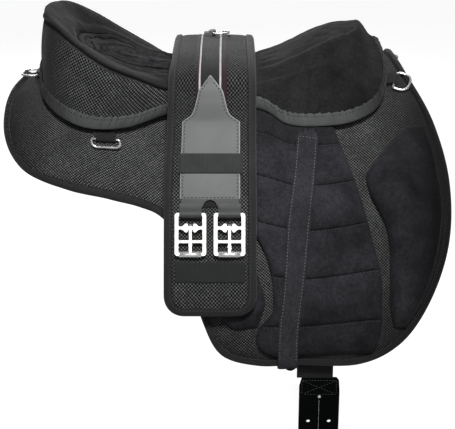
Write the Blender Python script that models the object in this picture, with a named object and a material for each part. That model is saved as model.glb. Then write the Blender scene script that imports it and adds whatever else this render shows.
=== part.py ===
"""A treeless all-purpose saddle with a short buckled girth laid across its seat.

Metres, +Z up. +X points to the pommel, the saddle's front. -Y is the saddle's right side, +Y its left.
The origin is on the mid-plane, at the underside of the ridge, where a saddle rack carries it.
"""
import math

import bmesh
import bpy
from mathutils import Vector
from mathutils.geometry import tessellate_polygon

# Clearances
TOUCH = 0.0003            # between pieces that rest on each other
LAYER = 0.0007            # between cloth layers that follow the same curved skin

# Skirt and flap, the padded base on each side of the spine
SKIRT_THICK = 0.014
SKIRT_EDGE_THICK = 0.008
RIDGE_RISE = 0.033        # how much higher the ridge is at the pommel
RIDGE_RISE_START = -0.06
RIDGE_RISE_LENGTH = 0.27
RIDGE_HALF_GAP = 0.0016   # from the mid-plane to each skirt's upper edge, along the skin
BINDING_WIDTHS = (0.0115, 0.0075)   # behind, and round the flap
BINDING_PROUD = 0.0015
SKIN_KNOTS = (0.0, 0.03, 0.13, 0.25, 0.45)
REAR_SLOPES = (4, 9, 28, 49, 84)       # degrees below level at each knot, behind the seat
FRONT_SLOPES = (4, 27, 52, 66, 79)     # the same at the flap
SLOPE_CHANGE_START = -0.20
SLOPE_CHANGE_LENGTH = 0.17

# Outer edge of a skirt: distance to the front, and distance from the ridge along the skin
SKIRT_OUTLINE = (
    (-0.262, RIDGE_HALF_GAP), (-0.271, 0.050), (-0.272, 0.097), (-0.266, 0.142), (-0.250, 0.178),
    (-0.226, 0.201), (-0.182, 0.218), (-0.138, 0.215), (-0.106, 0.212), (-0.080, 0.217), (-0.057, 0.243),
    (-0.044, 0.290), (-0.030, 0.340), (-0.008, 0.381), (0.035, 0.400), (0.083, 0.407), (0.156, 0.417),
    (0.206, 0.396), (0.242, 0.345), (0.265, 0.275), (0.267, 0.199), (0.251, 0.124), (0.221, 0.046),
    (0.206, RIDGE_HALF_GAP))
SKIRT_COLUMNS = 36
SKIRT_ROWS = 8

# Quilted suede pad on the flap: (distance down the skin, x) along its rear and front edges
QUILT_THICK = 0.0075
QUILT_EDGE_THICK = 0.004
QUILT_TOP = 0.085
QUILT_BOTTOM = 0.391
QUILT_REAR = ((0.085, -0.030), (0.160, -0.028), (0.220, -0.003), (0.264, 0.035), (0.285, 0.047),
              (0.313, 0.054), (0.338, 0.055), (0.357, 0.042), (0.367, 0.034), (0.380, 0.037), (0.391, 0.055))
QUILT_FRONT = ((0.085, 0.125), (0.128, 0.136), (0.184, 0.152), (0.258, 0.171), (0.327, 0.185),
               (0.360, 0.185), (0.381, 0.181), (0.391, 0.172))
QUILT_SEAMS = (0.130, 0.188, 0.245, 0.303, 0.358)
QUILT_SEAM_DEPTH = 0.0045
QUILT_SEAM_HALF = 0.007
QUILT_BEND_X = 0.085      # behind this line the seams run down towards the strap
QUILT_BEND_SLOPE = 0.5
QUILT_TAIL = 0.10         # the lower edge falls this much towards the front

# Knee roll and thigh roll, the same way
KNEE_THICK = 0.022
KNEE_EDGE_THICK = 0.005
KNEE_REAR = ((0.131, 0.221), (0.147, 0.199), (0.168, 0.181), (0.190, 0.166), (0.212, 0.170), (0.234, 0.180),
             (0.257, 0.190), (0.290, 0.194), (0.344, 0.194), (0.374, 0.199))
KNEE_FRONT = ((0.131, 0.237), (0.152, 0.245), (0.190, 0.2525), (0.230, 0.2565), (0.270, 0.2530),
              (0.311, 0.2440), (0.344, 0.2310), (0.374, 0.2130))
THIGH_THICK = 0.013
THIGH_EDGE_THICK = 0.004
THIGH_REAR = ((0.262, -0.006), (0.290, -0.016), (0.325, -0.014), (0.352, 0.008))
THIGH_FRONT = ((0.262, 0.018), (0.290, 0.036), (0.325, 0.045), (0.352, 0.036))

# Strap down the flap, round its lower edge
STRAP_THICK = 0.0020
STRAP_TOP = 0.131
STRAP_EDGE = 0.4055       # about where the flap ends below the strap
STRAP_REAR = ((0.131, 0.0835), (0.176, 0.079), (0.234, 0.071), (0.313, 0.066), (0.375, 0.060), (0.450, 0.060))
STRAP_FRONT = ((0.131, 0.1095), (0.153, 0.108), (0.239, 0.099), (0.308, 0.092), (0.371, 0.085), (0.450, 0.083))

# Foam panels under the skirt, with the spine's channel between them
UNDER_GAP = 0.0026        # slack between the skirt and what is sewn below it
PANEL_THICK = 0.020
PANEL_EDGE_THICK = 0.006
PANEL_X = (-0.236, 0.072)
PANEL_V = (0.034, 0.168)
BEARING_X = (-0.225, -0.185)    # the flat bearing face pressed into each panel
BEARING_V = (0.080, 0.120)

# Seat: stations round its rim, from the rear centre to the front centre. Each row holds the hem's x,
# its distance down the skin and its lift, the seam's x, y and height over the ridge, the x where the
# section meets the middle, how far the rolled rim rises, and the height of the sewn ring inside the rim
SEAT_LIFT = 0.0095
SEAT_STATIONS = (
    (-0.2315, 0.000, 0.0095, -0.2290, 0.000, 0.070, -0.158, 0.029, 0.062),
    (-0.2290, 0.042, 0.0095, -0.2235, 0.036, 0.074, -0.156, 0.022, 0.058),
    (-0.2200, 0.087, 0.0095, -0.2070, 0.076, 0.075, -0.152, 0.011, 0.050),
    (-0.1965, 0.120, 0.0095, -0.1780, 0.103, 0.060, -0.146, 0.006, 0.043),
    (-0.1660, 0.133, 0.0095, -0.1450, 0.110, 0.039, -0.130, 0.004, 0.031),
    (-0.1250, 0.119, 0.0095, -0.1100, 0.099, 0.021, -0.105, 0.003, 0.0175),
    (-0.0780, 0.088, 0.0095, -0.0720, 0.086, 0.004, -0.070, 0.002, 0.0135),
    (-0.0200, 0.068, 0.0095, -0.0200, 0.074, 0.000, -0.020, 0.001, 0.010),
    (0.0420, 0.087, 0.0095, 0.0390, 0.074, -0.002, 0.037, 0.001, 0.0105),
    (0.0750, 0.1135, 0.0095, 0.0730, 0.080, 0.002, 0.070, 0.001, 0.016),
    (0.1160, 0.121, 0.0095, 0.1120, 0.080, 0.008, 0.096, 0.003, 0.026),
    (0.1530, 0.118, 0.0095, 0.1450, 0.072, 0.010, 0.110, 0.004, 0.032),
    (0.1815, 0.100, 0.0095, 0.1700, 0.057, 0.008, 0.120, 0.004, 0.034),
    (0.1925, 0.058, 0.0105, 0.1810, 0.034, 0.009, 0.127, 0.004, 0.037),
    (0.1860, 0.000, 0.0110, 0.1810, 0.000, 0.021, 0.130, 0.004, 0.0405))
CREST_HEIGHT = ((-0.165, 0.043), (-0.150, 0.039), (-0.137, 0.033), (-0.1245, 0.028), (-0.112, 0.0245),
                (-0.093, 0.0215), (-0.070, 0.018), (-0.020, 0.0170), (0.036, 0.0165), (0.075, 0.0235),
                (0.111, 0.037), (0.144, 0.0425))
SEAT_COLUMNS = 28
SEAT_WALL_BULGE = 0.0040
SEAT_BOTTOM_ROWS = 4
SEAT_TOP_ROWS = (0.0, 0.05, 0.12, 0.20, 0.30, 0.40, 0.54, 0.69, 0.78, 0.86, 1.0)
SEAT_RINGS = (0.40, 0.69, 0.86)         # where the three sewn rings lie, rim to middle
SEAT_SEAM_DEPTH = 0.0020
SEAT_RING_END = 0.47                    # they fade out at this share of the rim
HEM_HEIGHT = 0.014
HEM_PROUD = 0.0040
HEM_GAP = 0.0011
PIPING_RADIUS = 0.0022
PIPING_END = 0.52

# Stiff inserts and webs between skirt and seat
INSERT_THICK = 0.0066
SPINE_X = (-0.100, 0.085)
SPINE_V = 0.030
POMMEL_ARCH_X = (0.100, 0.145)
POMMEL_ARCH_V = 0.080
CANTLE_ARCH_X = (-0.205, -0.150)
CANTLE_ARCH_V = 0.095

# Rigging web under the skirts, and the billets that hang from it
WEB_X = (0.0845, 0.1285)
WEB_THICK = 0.0022
WEB_END = 0.4135
HANGER_LENGTH = 0.016
BILLET_LENGTH = 0.200
BILLET_WIDTH = 0.0240
BILLET_SLIT = 0.0015
BILLET_THICK = 0.0040
BILLET_TIP = 0.020
BILLET_SLIT_START = 0.030
BILLET_HOLE = 0.0026
BILLET_FIRST_HOLE = 0.060
BILLET_HOLE_STEP = 0.022
BILLET_HOLES = 6
BILLET_SHIFT = 0.0060     # the leather sits this much forward of its hanger

# D-rings and their tabs
WIRE = 0.0014
SIDE_RING = (0.035, 0.012)      # width and depth, wire centre to centre
CRUPPER_RING = (0.035, 0.020)
FRONT_RING = (0.026, 0.018)
TAB_SLACK = 0.0105        # how much narrower a tab is than its ring
TAB_THICK = 0.0015
TAB_LENGTH = 0.012
BORE_GAP = 0.0005
RING_LIFT = WIRE + BORE_GAP + TAB_THICK + LAYER     # of a ring's bar over the skin
SIDE_RING_AT = (-0.146, 0.140)      # along the saddle and down over the skin
SIDE_RING_TURN = math.radians(15)   # its bow points this much forward of downward, so it hangs level
FRONT_RING_AT = (0.2072, 0.0665)
FRONT_RING_TURN = math.radians(20)  # its bow points this much below forward
CRUPPER_RING_X = -0.2424

# Girth: its underside in a section across the saddle, from the middle of the seat down one side
GIRTH_PATH = ((0.000, 0.0435), (0.042, 0.0425), (0.074, 0.0365), (0.0955, 0.0255), (0.1050, 0.0060),
              (0.1120, -0.0190), (0.1260, -0.0440), (0.1440, -0.0680), (0.1600, -0.0940), (0.1750, -0.1260),
              (0.1900, -0.1620), (0.2036, -0.2000), (0.2092, -0.2262))
GIRTH_STOPS = (0.000, 0.032, 0.060, 0.073, 0.086, 0.098, 0.110, 0.122, 0.134, 0.147, 0.160, 0.174, 0.190,
               0.210, 0.240, 0.275, 0.315, 0.355)
GIRTH_NARROWS = ((0.0, 0.13), (0.06, 0.13), (0.10, 0.08), (0.15, 0.055), (0.24, 0.0), (0.50, 0.0))  # rear half
GIRTH_X = -0.0205
GIRTH_WIDTH = 0.110
GIRTH_THICK = 0.014
GIRTH_CORNER = 0.024
GIRTH_EDGE = 0.0100
CENTER_WEB_WIDTH = 0.040
CENTER_WEB_THICK = 0.0012
LEATHER_THICK = 0.0028
LEATHER_WIDTH = 0.071
LEATHER_WIDTHS = ((0.0, 0.001), (0.0115, 0.0148), (0.0215, 0.0178), (0.0365, 0.0235), (0.0440, 0.0315),
                  (0.0485, LEATHER_WIDTH / 2), (0.20, LEATHER_WIDTH / 2))    # half widths from the tip
LEATHER_TIP = 0.098
LEATHER_BAR = 0.260        # where the buckles' upper bars lie, along the girth from its middle
LEATHER_NOTCH = 0.008
NOTCH_START = LEATHER_BAR - 0.020
KEEPER_TOP = LEATHER_BAR - 0.069
KEEPER_LENGTH = 0.023
KEEPER_OVERHANG = 0.0035   # past each edge of the leather
KEEPER_THICK = 0.0014
END_BAND_START = 0.055     # below the upper bar
END_BAND_LENGTH = 0.0235
END_BAND_WIDTH = 0.083
GIRTH_RING_AT = 0.046      # along the girth from its middle, on the far side

# Buckles
BUCKLE_WIDTH = 0.037
BUCKLE_SPACING = 0.0457
BUCKLE_BAR = 0.0034
BUCKLE_SIDE = 0.0045
BUCKLE_THICK = 0.0036
HINGE_BAR = 0.0160         # below the upper bar
PLAIN_BAR = 0.0320
END_BAR = 0.0470
BAR_LIFT = GIRTH_THICK + 0.0065      # the upper bar's centre over the girth's underside
KNUCKLE = ((0.0108, 0.0), (0.0064, 0.0032), (0.0042, 0.0034), (0.0028, 0.0))   # from the tongue, over the bar
LOOP_WIDTH = 0.0225
LOOP_OUTER = 0.0048
COLLAR_OUTER = 0.0046
TONGUE_WIDTH = 0.0034
TONGUE_THICK = 0.0026
ROLLER_OUTER = 0.0036

SIDES = {"right": -1, "left": 1}
X_AXIS = Vector((1, 0, 0))


def clear_scene():
    """Remove every object that the scene starts with."""
    for obj in list(bpy.data.objects):
        bpy.data.objects.remove(obj)


def finish(name, color, roughness, metallic=0.0):
    """A Principled material, made once for each name."""
    found = bpy.data.materials.get(name)
    if found:
        return found
    made = bpy.data.materials.new(name)
    made.use_nodes = True
    shader = made.node_tree.nodes["Principled BSDF"]
    shader.inputs["Base Color"].default_value = (*color, 1.0)
    shader.inputs["Roughness"].default_value = roughness
    shader.inputs["Metallic"].default_value = metallic
    return made


def suede():
    return finish("suede", (0.020, 0.018, 0.023), 0.95)


def strap_suede():
    return finish("strap_suede", (0.030, 0.029, 0.034), 0.95)


def mesh_cloth():
    return finish("mesh_cloth", (0.035, 0.037, 0.035), 0.85)


def binding_cloth():
    return finish("binding_cloth", (0.085, 0.090, 0.085), 0.85)


def dark_binding():
    return finish("dark_binding", (0.018, 0.017, 0.018), 0.9)


def webbing():
    return finish("webbing", (0.018, 0.019, 0.018), 0.8)


def elastic():
    return finish("elastic", (0.045, 0.048, 0.046), 0.8)


def girth_leather():
    return finish("girth_leather", (0.19, 0.20, 0.19), 0.5)


def billet_leather():
    return finish("billet_leather", (0.004, 0.005, 0.005), 0.4)


def steel():
    return finish("steel", (0.78, 0.78, 0.80), 0.18, 1.0)


def foam():
    return finish("foam", (0.020, 0.021, 0.020), 0.9)


def stiffener():
    return finish("stiffener", (0.015, 0.015, 0.016), 0.5)


def add_object(name, points, faces, material, pivot=None):
    """Make an object from points and faces, welded and facing out, with its origin at the pivot."""
    start = Vector(pivot) if pivot is not None else Vector((0, 0, 0))
    work = bmesh.new()
    made = [work.verts.new(Vector(p) - start) for p in points]
    for face in faces:
        corners = [made[i] for i in face]
        if len(set(corners)) > 2:
            work.faces.new(corners)
    bmesh.ops.remove_doubles(work, verts=work.verts, dist=0.00001)
    bmesh.ops.dissolve_degenerate(work, edges=work.edges, dist=0.00001)
    bmesh.ops.recalc_face_normals(work, faces=work.faces)
    mesh = bpy.data.meshes.new(name)
    work.to_mesh(mesh)
    work.free()
    mesh.materials.append(material)
    mesh.shade_smooth()
    mesh.set_sharp_from_angle(angle=math.radians(35))
    obj = bpy.data.objects.new(name, mesh)
    obj.location = start
    bpy.context.scene.collection.objects.link(obj)
    return obj


def curve_through(points):
    """A smooth function through (value, result) pairs that never overshoots between them."""
    xs = [p[0] for p in points]
    ys = [p[1] for p in points]
    steps = [b - a for a, b in zip(xs, xs[1:])]
    slopes = [(b - a) / h for a, b, h in zip(ys, ys[1:], steps)]
    tangents = [slopes[0]]
    for before, after in zip(slopes, slopes[1:]):
        same_way = before * after > 0
        tangents.append(2 * before * after / (before + after) if same_way else 0.0)
    tangents.append(slopes[-1])

    def at(x):
        x = min(max(x, xs[0]), xs[-1])
        i = max(k for k in range(len(steps)) if xs[k] <= x or k == 0)
        t = (x - xs[i]) / steps[i]
        start = ys[i] * (1 + 2 * t) * (1 - t) ** 2 + tangents[i] * steps[i] * t * (1 - t) ** 2
        end = ys[i + 1] * t * t * (3 - 2 * t) + tangents[i + 1] * steps[i] * t * t * (t - 1)
        return start + end

    return at


def spline(rows, t):
    """The Catmull-Rom curve through rows of numbers, t running from 0 to 1."""
    last = len(rows) - 1
    place = min(max(t, 0.0), 1.0) * last
    i = min(int(place), last - 1)
    f = place - i
    a, b, c, d = (rows[min(max(k, 0), last)] for k in (i - 1, i, i + 1, i + 2))
    return [0.5 * (2 * q + (r - p) * f + (2 * p - 5 * q + 4 * r - s) * f * f + (3 * q - p - 3 * r + s) * f ** 3)
            for p, q, r, s in zip(a, b, c, d)]


def even_points(rows, count):
    """count + 1 points at even steps along the spline through rows."""
    dense = [spline(rows, k / 400) for k in range(401)]
    lengths = [0.0]
    for a, b in zip(dense, dense[1:]):
        lengths.append(lengths[-1] + math.dist(a, b))
    points = []
    k = 0
    for n in range(count + 1):
        goal = lengths[-1] * n / count
        while k < 399 and lengths[k + 1] < goal:
            k += 1
        f = (goal - lengths[k]) / (lengths[k + 1] - lengths[k])
        points.append([p + (q - p) * min(max(f, 0.0), 1.0) for p, q in zip(dense[k], dense[k + 1])])
    return points


def smooth_step(t):
    t = min(max(t, 0.0), 1.0)
    return t * t * (3 - 2 * t)


def ridge(x):
    """Height of the skirts' outer face over the spine."""
    return SKIRT_THICK + RIDGE_RISE * smooth_step((x - RIDGE_RISE_START) / RIDGE_RISE_LENGTH)


def skin(x, v, lift=0.0, side=1):
    """A point on the skirt's outer skin, v along it from the ridge, raised by lift square to it.

    The section across the saddle is a chain of arcs, whose slopes turn from the rear's to the flap's.
    """
    turn = smooth_step((x - SLOPE_CHANGE_START) / SLOPE_CHANGE_LENGTH)
    slopes = [math.radians(r + (f - r) * turn) for r, f in zip(REAR_SLOPES, FRONT_SLOPES)]
    y = 0.0
    z = ridge(x)
    slope = slopes[0]
    for k in range(len(SKIN_KNOTS) - 1):
        start, end = SKIN_KNOTS[k], SKIN_KNOTS[k + 1]
        if v <= start:
            break
        stop = v if k == len(SKIN_KNOTS) - 2 else min(v, end)
        bend = (slopes[k + 1] - slopes[k]) / (end - start)
        slope = slopes[k] + bend * (stop - start)
        y += (math.sin(slope) - math.sin(slopes[k])) / bend
        z += (math.cos(slope) - math.cos(slopes[k])) / bend
    if v <= 0:
        return Vector((x, 0.0, z + lift))
    return Vector((x, side * (y + lift * math.sin(slope)), z + lift * math.cos(slope)))


def across(x, v, lift):
    """The same skin with v negative on the right side, so that a piece can cross the ridge."""
    return skin(x, abs(v), lift, 1 if v > 0 else -1)


def sheet_solid(name, lower, upper, material, pivot=None):
    """A closed solid between two grids of points that match row by row."""
    rows, columns = len(lower), len(lower[0])
    points = [p for row in lower for p in row] + [p for row in upper for p in row]
    top = rows * columns
    faces = []
    for i in range(rows - 1):
        for j in range(columns - 1):
            a = i * columns + j
            quad = (a, a + 1, a + columns + 1, a + columns)
            faces.append(quad)
            faces.append(tuple(top + k for k in reversed(quad)))
    rim = [j for j in range(columns)] + [i * columns + columns - 1 for i in range(1, rows)]
    rim += [(rows - 1) * columns + j for j in range(columns - 2, -1, -1)]
    rim += [i * columns for i in range(rows - 2, 0, -1)]
    for a, b in zip(rim, rim[1:] + rim[:1]):
        faces.append((b, a, top + a, top + b))
    return add_object(name, points, faces, material, pivot)


def ring_solid(name, sections, material, closed, pivot=None):
    """A solid swept through matching closed sections, capped at its ends unless it closes on itself."""
    size = len(sections[0])
    points = [p for section in sections for p in section]
    count = len(sections)
    faces = []
    for i in range(count if closed else count - 1):
        a, b = i * size, ((i + 1) % count) * size
        for j in range(size):
            k = (j + 1) % size
            faces.append((a + j, a + k, b + k, b + j))
    if not closed:
        faces.append(tuple(range(size)))
        faces.append(tuple((count - 1) * size + j for j in reversed(range(size))))
    return add_object(name, points, faces, material, pivot)


def plate(name, loops, start, along, up, near, far, material, pivot=None):
    """A flat outline with holes, drawn in the plane of along and up, filled from near to far beyond it."""
    through = along.cross(up)
    flat = [[Vector((u, v, 0)) for u, v in loop] for loop in loops]
    corners = [p for loop in flat for p in loop]
    points = []
    for depth in (near, far):
        points += [start + along * p.x + up * p.y + through * depth for p in corners]
    total = len(corners)
    faces = []
    for triangle in tessellate_polygon(flat):
        faces.append(tuple(triangle))
        faces.append(tuple(total + k for k in reversed(triangle)))
    first = 0
    for loop in flat:
        for k in range(len(loop)):
            a, b = first + k, first + (k + 1) % len(loop)
            faces.append((a, b, total + b, total + a))
        first += len(loop)
    return add_object(name, points, faces, material, pivot)


def circle(radius, count, center=(0.0, 0.0), start=0.0, sweep=2 * math.pi):
    """Points round a circle, or along an arc with both ends."""
    full = abs(sweep) >= 2 * math.pi - 1e-6
    steps = count if full else count - 1
    return [(center[0] + radius * math.cos(start + sweep * k / steps),
             center[1] + radius * math.sin(start + sweep * k / steps)) for k in range(count)]


def rounded(half_width, low, high, radius, count=3):
    """A rectangle with round corners, centred on zero across."""
    points = []
    corners = ((half_width, high), (-half_width, high), (-half_width, low), (half_width, low))
    for turn, (x, y) in enumerate(corners):
        center = (x - math.copysign(radius, x), y - radius if y == high else y + radius)
        points += circle(radius, count, center, turn * math.pi / 2, math.pi / 2)
    return points


def crown(share, power=4):
    """1 in the middle of a pad and 0 at its edge."""
    return 1 - abs(2 * share - 1) ** power


def build_skirts():
    """The padded skirt and flap of each side, and the binding sewn round their outer edge."""
    outline = even_points(SKIRT_OUTLINE, SKIRT_COLUMNS)
    inner = inset(outline, TOUCH)
    reach = [0.0]
    for a, b in zip(outline, outline[1:]):
        reach.append(reach[-1] + abs(b[0] - a[0]) + 0.25 * abs(b[1] - a[1]))
    first, last = inner[0][0], inner[-1][0]
    for word, side in SIDES.items():
        lower, upper = [], []
        for (x, v), run in zip(inner, reach):
            foot = first + (last - first) * run / reach[-1]
            lower.append([])
            upper.append([])
            for row in range(SKIRT_ROWS + 1):
                share = row / SKIRT_ROWS
                px = foot + (x - foot) * share
                pv = RIDGE_HALF_GAP + (max(v, RIDGE_HALF_GAP) - RIDGE_HALF_GAP) * share
                thick = SKIRT_THICK + (SKIRT_EDGE_THICK - SKIRT_THICK) * share ** 6
                lower[-1].append(skin(px, pv, -thick, side))
                upper[-1].append(skin(px, pv, 0.0, side))
        sheet_solid(f"skirt_{word}", lower, upper, mesh_cloth())
        sections = []
        for (x, v), (ix, iv) in zip(outline, inset(outline, 0.0)):
            v, iv = max(v, RIDGE_HALF_GAP), max(iv, RIDGE_HALF_GAP)
            mx, mv = x + (ix - x) * 0.35, v + (iv - v) * 0.35
            bottom = -SKIRT_EDGE_THICK - BINDING_PROUD
            sections.append([skin(ix, iv, bottom, side), skin(mx, mv, bottom, side),
                             skin(x, v, bottom / 2, side), skin(mx, mv, BINDING_PROUD, side),
                             skin(ix, iv, BINDING_PROUD, side)])
        ring_solid(f"skirt_binding_{word}", sections, dark_binding(), closed=False)


def binding_width(x):
    rear, front = BINDING_WIDTHS
    return rear + (front - rear) * smooth_step((x + 0.09) / 0.10)


def inset(outline, extra):
    """The outline moved inwards by the binding's width and a little more, square to itself."""
    moved = []
    for k, (x, v) in enumerate(outline):
        before, after = outline[max(k - 1, 0)], outline[min(k + 1, len(outline) - 1)]
        dx, dv = after[0] - before[0], after[1] - before[1]
        distance = (binding_width(x) + extra) / math.hypot(dx, dv)
        moved.append((x + distance * dv, v - distance * dx))
    return moved


def edge_pad(name, side, values, rear, front, columns, low, thickness, material, bend=None):
    """A pad on the skin, row by row down it, between its rear and front edges."""
    rear_x, front_x = curve_through(rear), curve_through(front)
    lower, upper = [], []
    for i, v in enumerate(values):
        lower.append([])
        upper.append([])
        for j in range(columns + 1):
            across_share = j / columns
            x = rear_x(v) + (front_x(v) - rear_x(v)) * across_share
            pv = v if bend is None else bend(x, v)
            thick = thickness(v, i / (len(values) - 1), across_share)
            lower[-1].append(skin(x, pv, low, side))
            upper[-1].append(skin(x, pv, low + thick, side))
    return sheet_solid(name, lower, upper, material)


def spread(start, end, count):
    return [start + (end - start) * k / count for k in range(count + 1)]


def build_quilted_flaps():
    """The suede pad on each flap, sewn across into channels."""
    values = [QUILT_TOP, QUILT_TOP + 0.019]
    for seam in QUILT_SEAMS:
        values += [seam - QUILT_SEAM_HALF, seam, seam + QUILT_SEAM_HALF, seam + 0.030]
    values = [v for v in values if v < QUILT_BOTTOM - 0.004] + [QUILT_BOTTOM]
    hem = hem_reach()

    def thickness(v, down, over):
        groove = max(0.0, 1 - min(abs(v - s) for s in QUILT_SEAMS) / QUILT_SEAM_HALF)
        rise = min(crown(over, 6), 1.0) * min(crown(down, 12), 1.0)
        full = QUILT_EDGE_THICK + (QUILT_THICK - QUILT_EDGE_THICK) * rise
        return max(full - QUILT_SEAM_DEPTH * groove, 0.0025)

    def bend(x, v):
        share = (v - QUILT_TOP) / (QUILT_BOTTOM - QUILT_TOP)
        sag = QUILT_BEND_SLOPE * max(QUILT_BEND_X - x, 0.0) * math.sin(math.pi * share)
        tuck = (hem(x) - 0.012 - QUILT_TOP) * (1 - share) ** 4
        tail = QUILT_TAIL * (x - QUILT_REAR[-1][1]) * share ** 8
        return v - sag * 0.75 + tuck + tail

    for word, side in SIDES.items():
        edge_pad(f"quilted_flap_{word}", side, values, QUILT_REAR, QUILT_FRONT, 6, LAYER + TOUCH, thickness,
                 suede(), bend)


def build_rolls():
    """The tall knee roll at the front of each flap, and the small thigh roll at its rear."""
    def puff(thin, thick):
        return lambda v, down, over: thin + (thick - thin) * crown(over, 2.6) * crown(down, 3)

    for word, side in SIDES.items():
        values = spread(KNEE_REAR[0][0], KNEE_REAR[-1][0], 12)
        edge_pad(f"knee_roll_{word}", side, values, KNEE_REAR, KNEE_FRONT, 6, LAYER,
                 puff(KNEE_EDGE_THICK, KNEE_THICK), suede())
        values = spread(THIGH_REAR[0][0], THIGH_REAR[-1][0], 7)
        edge_pad(f"thigh_roll_{word}", side, values, THIGH_REAR, THIGH_FRONT, 5, LAYER,
                 puff(THIGH_EDGE_THICK, THIGH_THICK), suede())


def build_flap_straps():
    """The strap sewn down each flap: it lies on the quilted pad and turns under the flap's edge."""
    rear_x, front_x = curve_through(STRAP_REAR), curve_through(STRAP_FRONT)
    outline = [(x, v) for x, v in even_points(SKIRT_OUTLINE, SKIRT_COLUMNS) if v > 0.36 and x < 0.16]

    def edge(x):
        k = next(k for k in range(1, len(outline)) if outline[k][0] >= x)
        (ax, av), (bx, bv) = outline[k - 1], outline[k]
        return av + (bv - av) * (x - ax) / (bx - ax)

    low = LAYER + QUILT_THICK + LAYER + TOUCH
    under = -SKIRT_EDGE_THICK - BINDING_PROUD - LAYER
    path = [(v, low) for v in spread(STRAP_TOP - STRAP_EDGE, -0.004, 11)]
    path += [(0.0010, low - 0.003), (0.0016, (low + under) / 2), (-0.0008, under), (-0.018, under - 0.001)]
    for word, side in SIDES.items():
        lower, upper = [], []
        for k, (v, lift) in enumerate(path):
            before, after = path[max(k - 1, 0)], path[min(k + 1, len(path) - 1)]
            dv, dl = after[0] - before[0], after[1] - before[1]
            size = math.hypot(dv, dl)
            ov, ol = v - STRAP_THICK * dl / size, lift + STRAP_THICK * dv / size
            xs = spread(rear_x(v + STRAP_EDGE), front_x(v + STRAP_EDGE), 2)
            lower.append([skin(x, edge(x) + v, lift, side) for x in xs])
            upper.append([skin(x, edge(x) + ov, ol, side) for x in xs])
        sheet_solid(f"flap_strap_{word}", lower, upper, strap_suede())


def build_panels():
    """The foam panels that lie on the horse, each with a flat bearing face pressed into its rear."""
    middle_v = sum(BEARING_V) / 2
    values = sorted(set(spread(*PANEL_V, 6) + list(BEARING_V)))
    places = sorted(set(spread(*PANEL_X, 9) + list(BEARING_X)))
    for word, side in SIDES.items():
        low = -SKIRT_THICK - UNDER_GAP
        center = skin(sum(BEARING_X) / 2, middle_v, low - PANEL_THICK, side)
        square = (skin(center.x, middle_v, low, side) - center).normalized()
        lower, upper = [], []
        for x in places:
            lower.append([])
            upper.append([])
            over = crown((x - PANEL_X[0]) / (PANEL_X[1] - PANEL_X[0]), 6)
            for v in values:
                down = crown((v - PANEL_V[0]) / (PANEL_V[1] - PANEL_V[0]), 4)
                thick = PANEL_EDGE_THICK + (PANEL_THICK - PANEL_EDGE_THICK) * over * down
                point = skin(x, v, low - thick, side)
                pressed = BEARING_X[0] <= x <= BEARING_X[1] and BEARING_V[0] <= v <= BEARING_V[1]
                if pressed:
                    point -= square * (point - center).dot(square)
                lower[-1].append(point)
                upper[-1].append(skin(x, v, low, side))
        sheet_solid(f"panel_{word}", lower, upper, foam())


def build_inserts():
    """The spine strip, the two stiff arches and the rigging web, which all cross the ridge."""
    def crossing(name, x_range, reach, low, thick, material, rows, columns):
        values = spread(-reach, reach, columns)
        lower = [[across(x, v, low) for v in values] for x in spread(*x_range, rows)]
        upper = [[across(x, v, low + thick) for v in values] for x in spread(*x_range, rows)]
        sheet_solid(name, lower, upper, material)

    crossing("spine_strip", SPINE_X, SPINE_V, LAYER, INSERT_THICK, foam(), 8, 4)
    crossing("pommel_arch", POMMEL_ARCH_X, POMMEL_ARCH_V, LAYER, INSERT_THICK, stiffener(), 3, 10)
    crossing("cantle_arch", CANTLE_ARCH_X, CANTLE_ARCH_V, LAYER, INSERT_THICK, stiffener(), 3, 10)
    low = -SKIRT_THICK - UNDER_GAP - WEB_THICK
    lower, upper = [], []
    for x in spread(*WEB_X, 2):
        reach = WEB_END + (ridge(x) - ridge(sum(WEB_X) / 2))
        lower.append([across(x, v, low) for v in spread(-reach, reach, 26)])
        upper.append([across(x, v, low + WEB_THICK) for v in spread(-reach, reach, 26)])
    sheet_solid("rigging_web", lower, upper, webbing())


def hem_reach():
    """How far down the skin the seat's hem lies at each x, along its sides."""
    dense = [spline(SEAT_STATIONS, k / 200) for k in range(201)]
    side_part = [(row[0], row[1]) for row in dense if row[1] > 0.06]
    rising = [side_part[0]]
    for pair in side_part[1:]:
        if pair[0] > rising[-1][0] + 0.002:
            rising.append(pair)
    return curve_through(rising)


def seat_section(share, side):
    """Hem and seam points, the middle's x, the rim's rise and the ring's height, at a share of the rim."""
    hx, hv, lift, sx, sy, height, cx, rise, groove = spline(SEAT_STATIONS, share)
    hem = skin(hx, max(hv, 0.0), lift, side)
    seam = Vector((sx, side * max(sy, 0.0), ridge(sx) + height))
    return hem, seam, cx, rise, groove


def outward(share, side):
    """The level direction out of the seat's wall at this share of the rim."""
    step = 0.004
    before = seat_section(max(share - step, 0.0), side)
    after = seat_section(min(share + step, 1.0), side)
    run = (after[0] + after[1]) - (before[0] + before[1])
    if share < step:
        run = Vector((0, side, 0))
    if share > 1 - step:
        run = Vector((0, -side, 0))
    out = Vector((-run.y, run.x, 0)) * side
    return out.normalized()


def wall_point(share, up, side, proud=0.0):
    """A point on the seat's wall: up runs from 0 at the hem to 1 at the seam."""
    hem, seam = seat_section(share, side)[:2]
    bulge = SEAT_WALL_BULGE * math.sin(math.pi * up) ** 0.8 if 0 < up < 1 else 0.0
    return hem.lerp(seam, up) + outward(share, side) * (bulge + proud)


def hem_top(share, side):
    """How far up the wall the hem binding reaches at this share of the rim."""
    hem, seam = seat_section(share, side)[:2]
    return min(HEM_HEIGHT / (seam - hem).length, 0.85)


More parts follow.
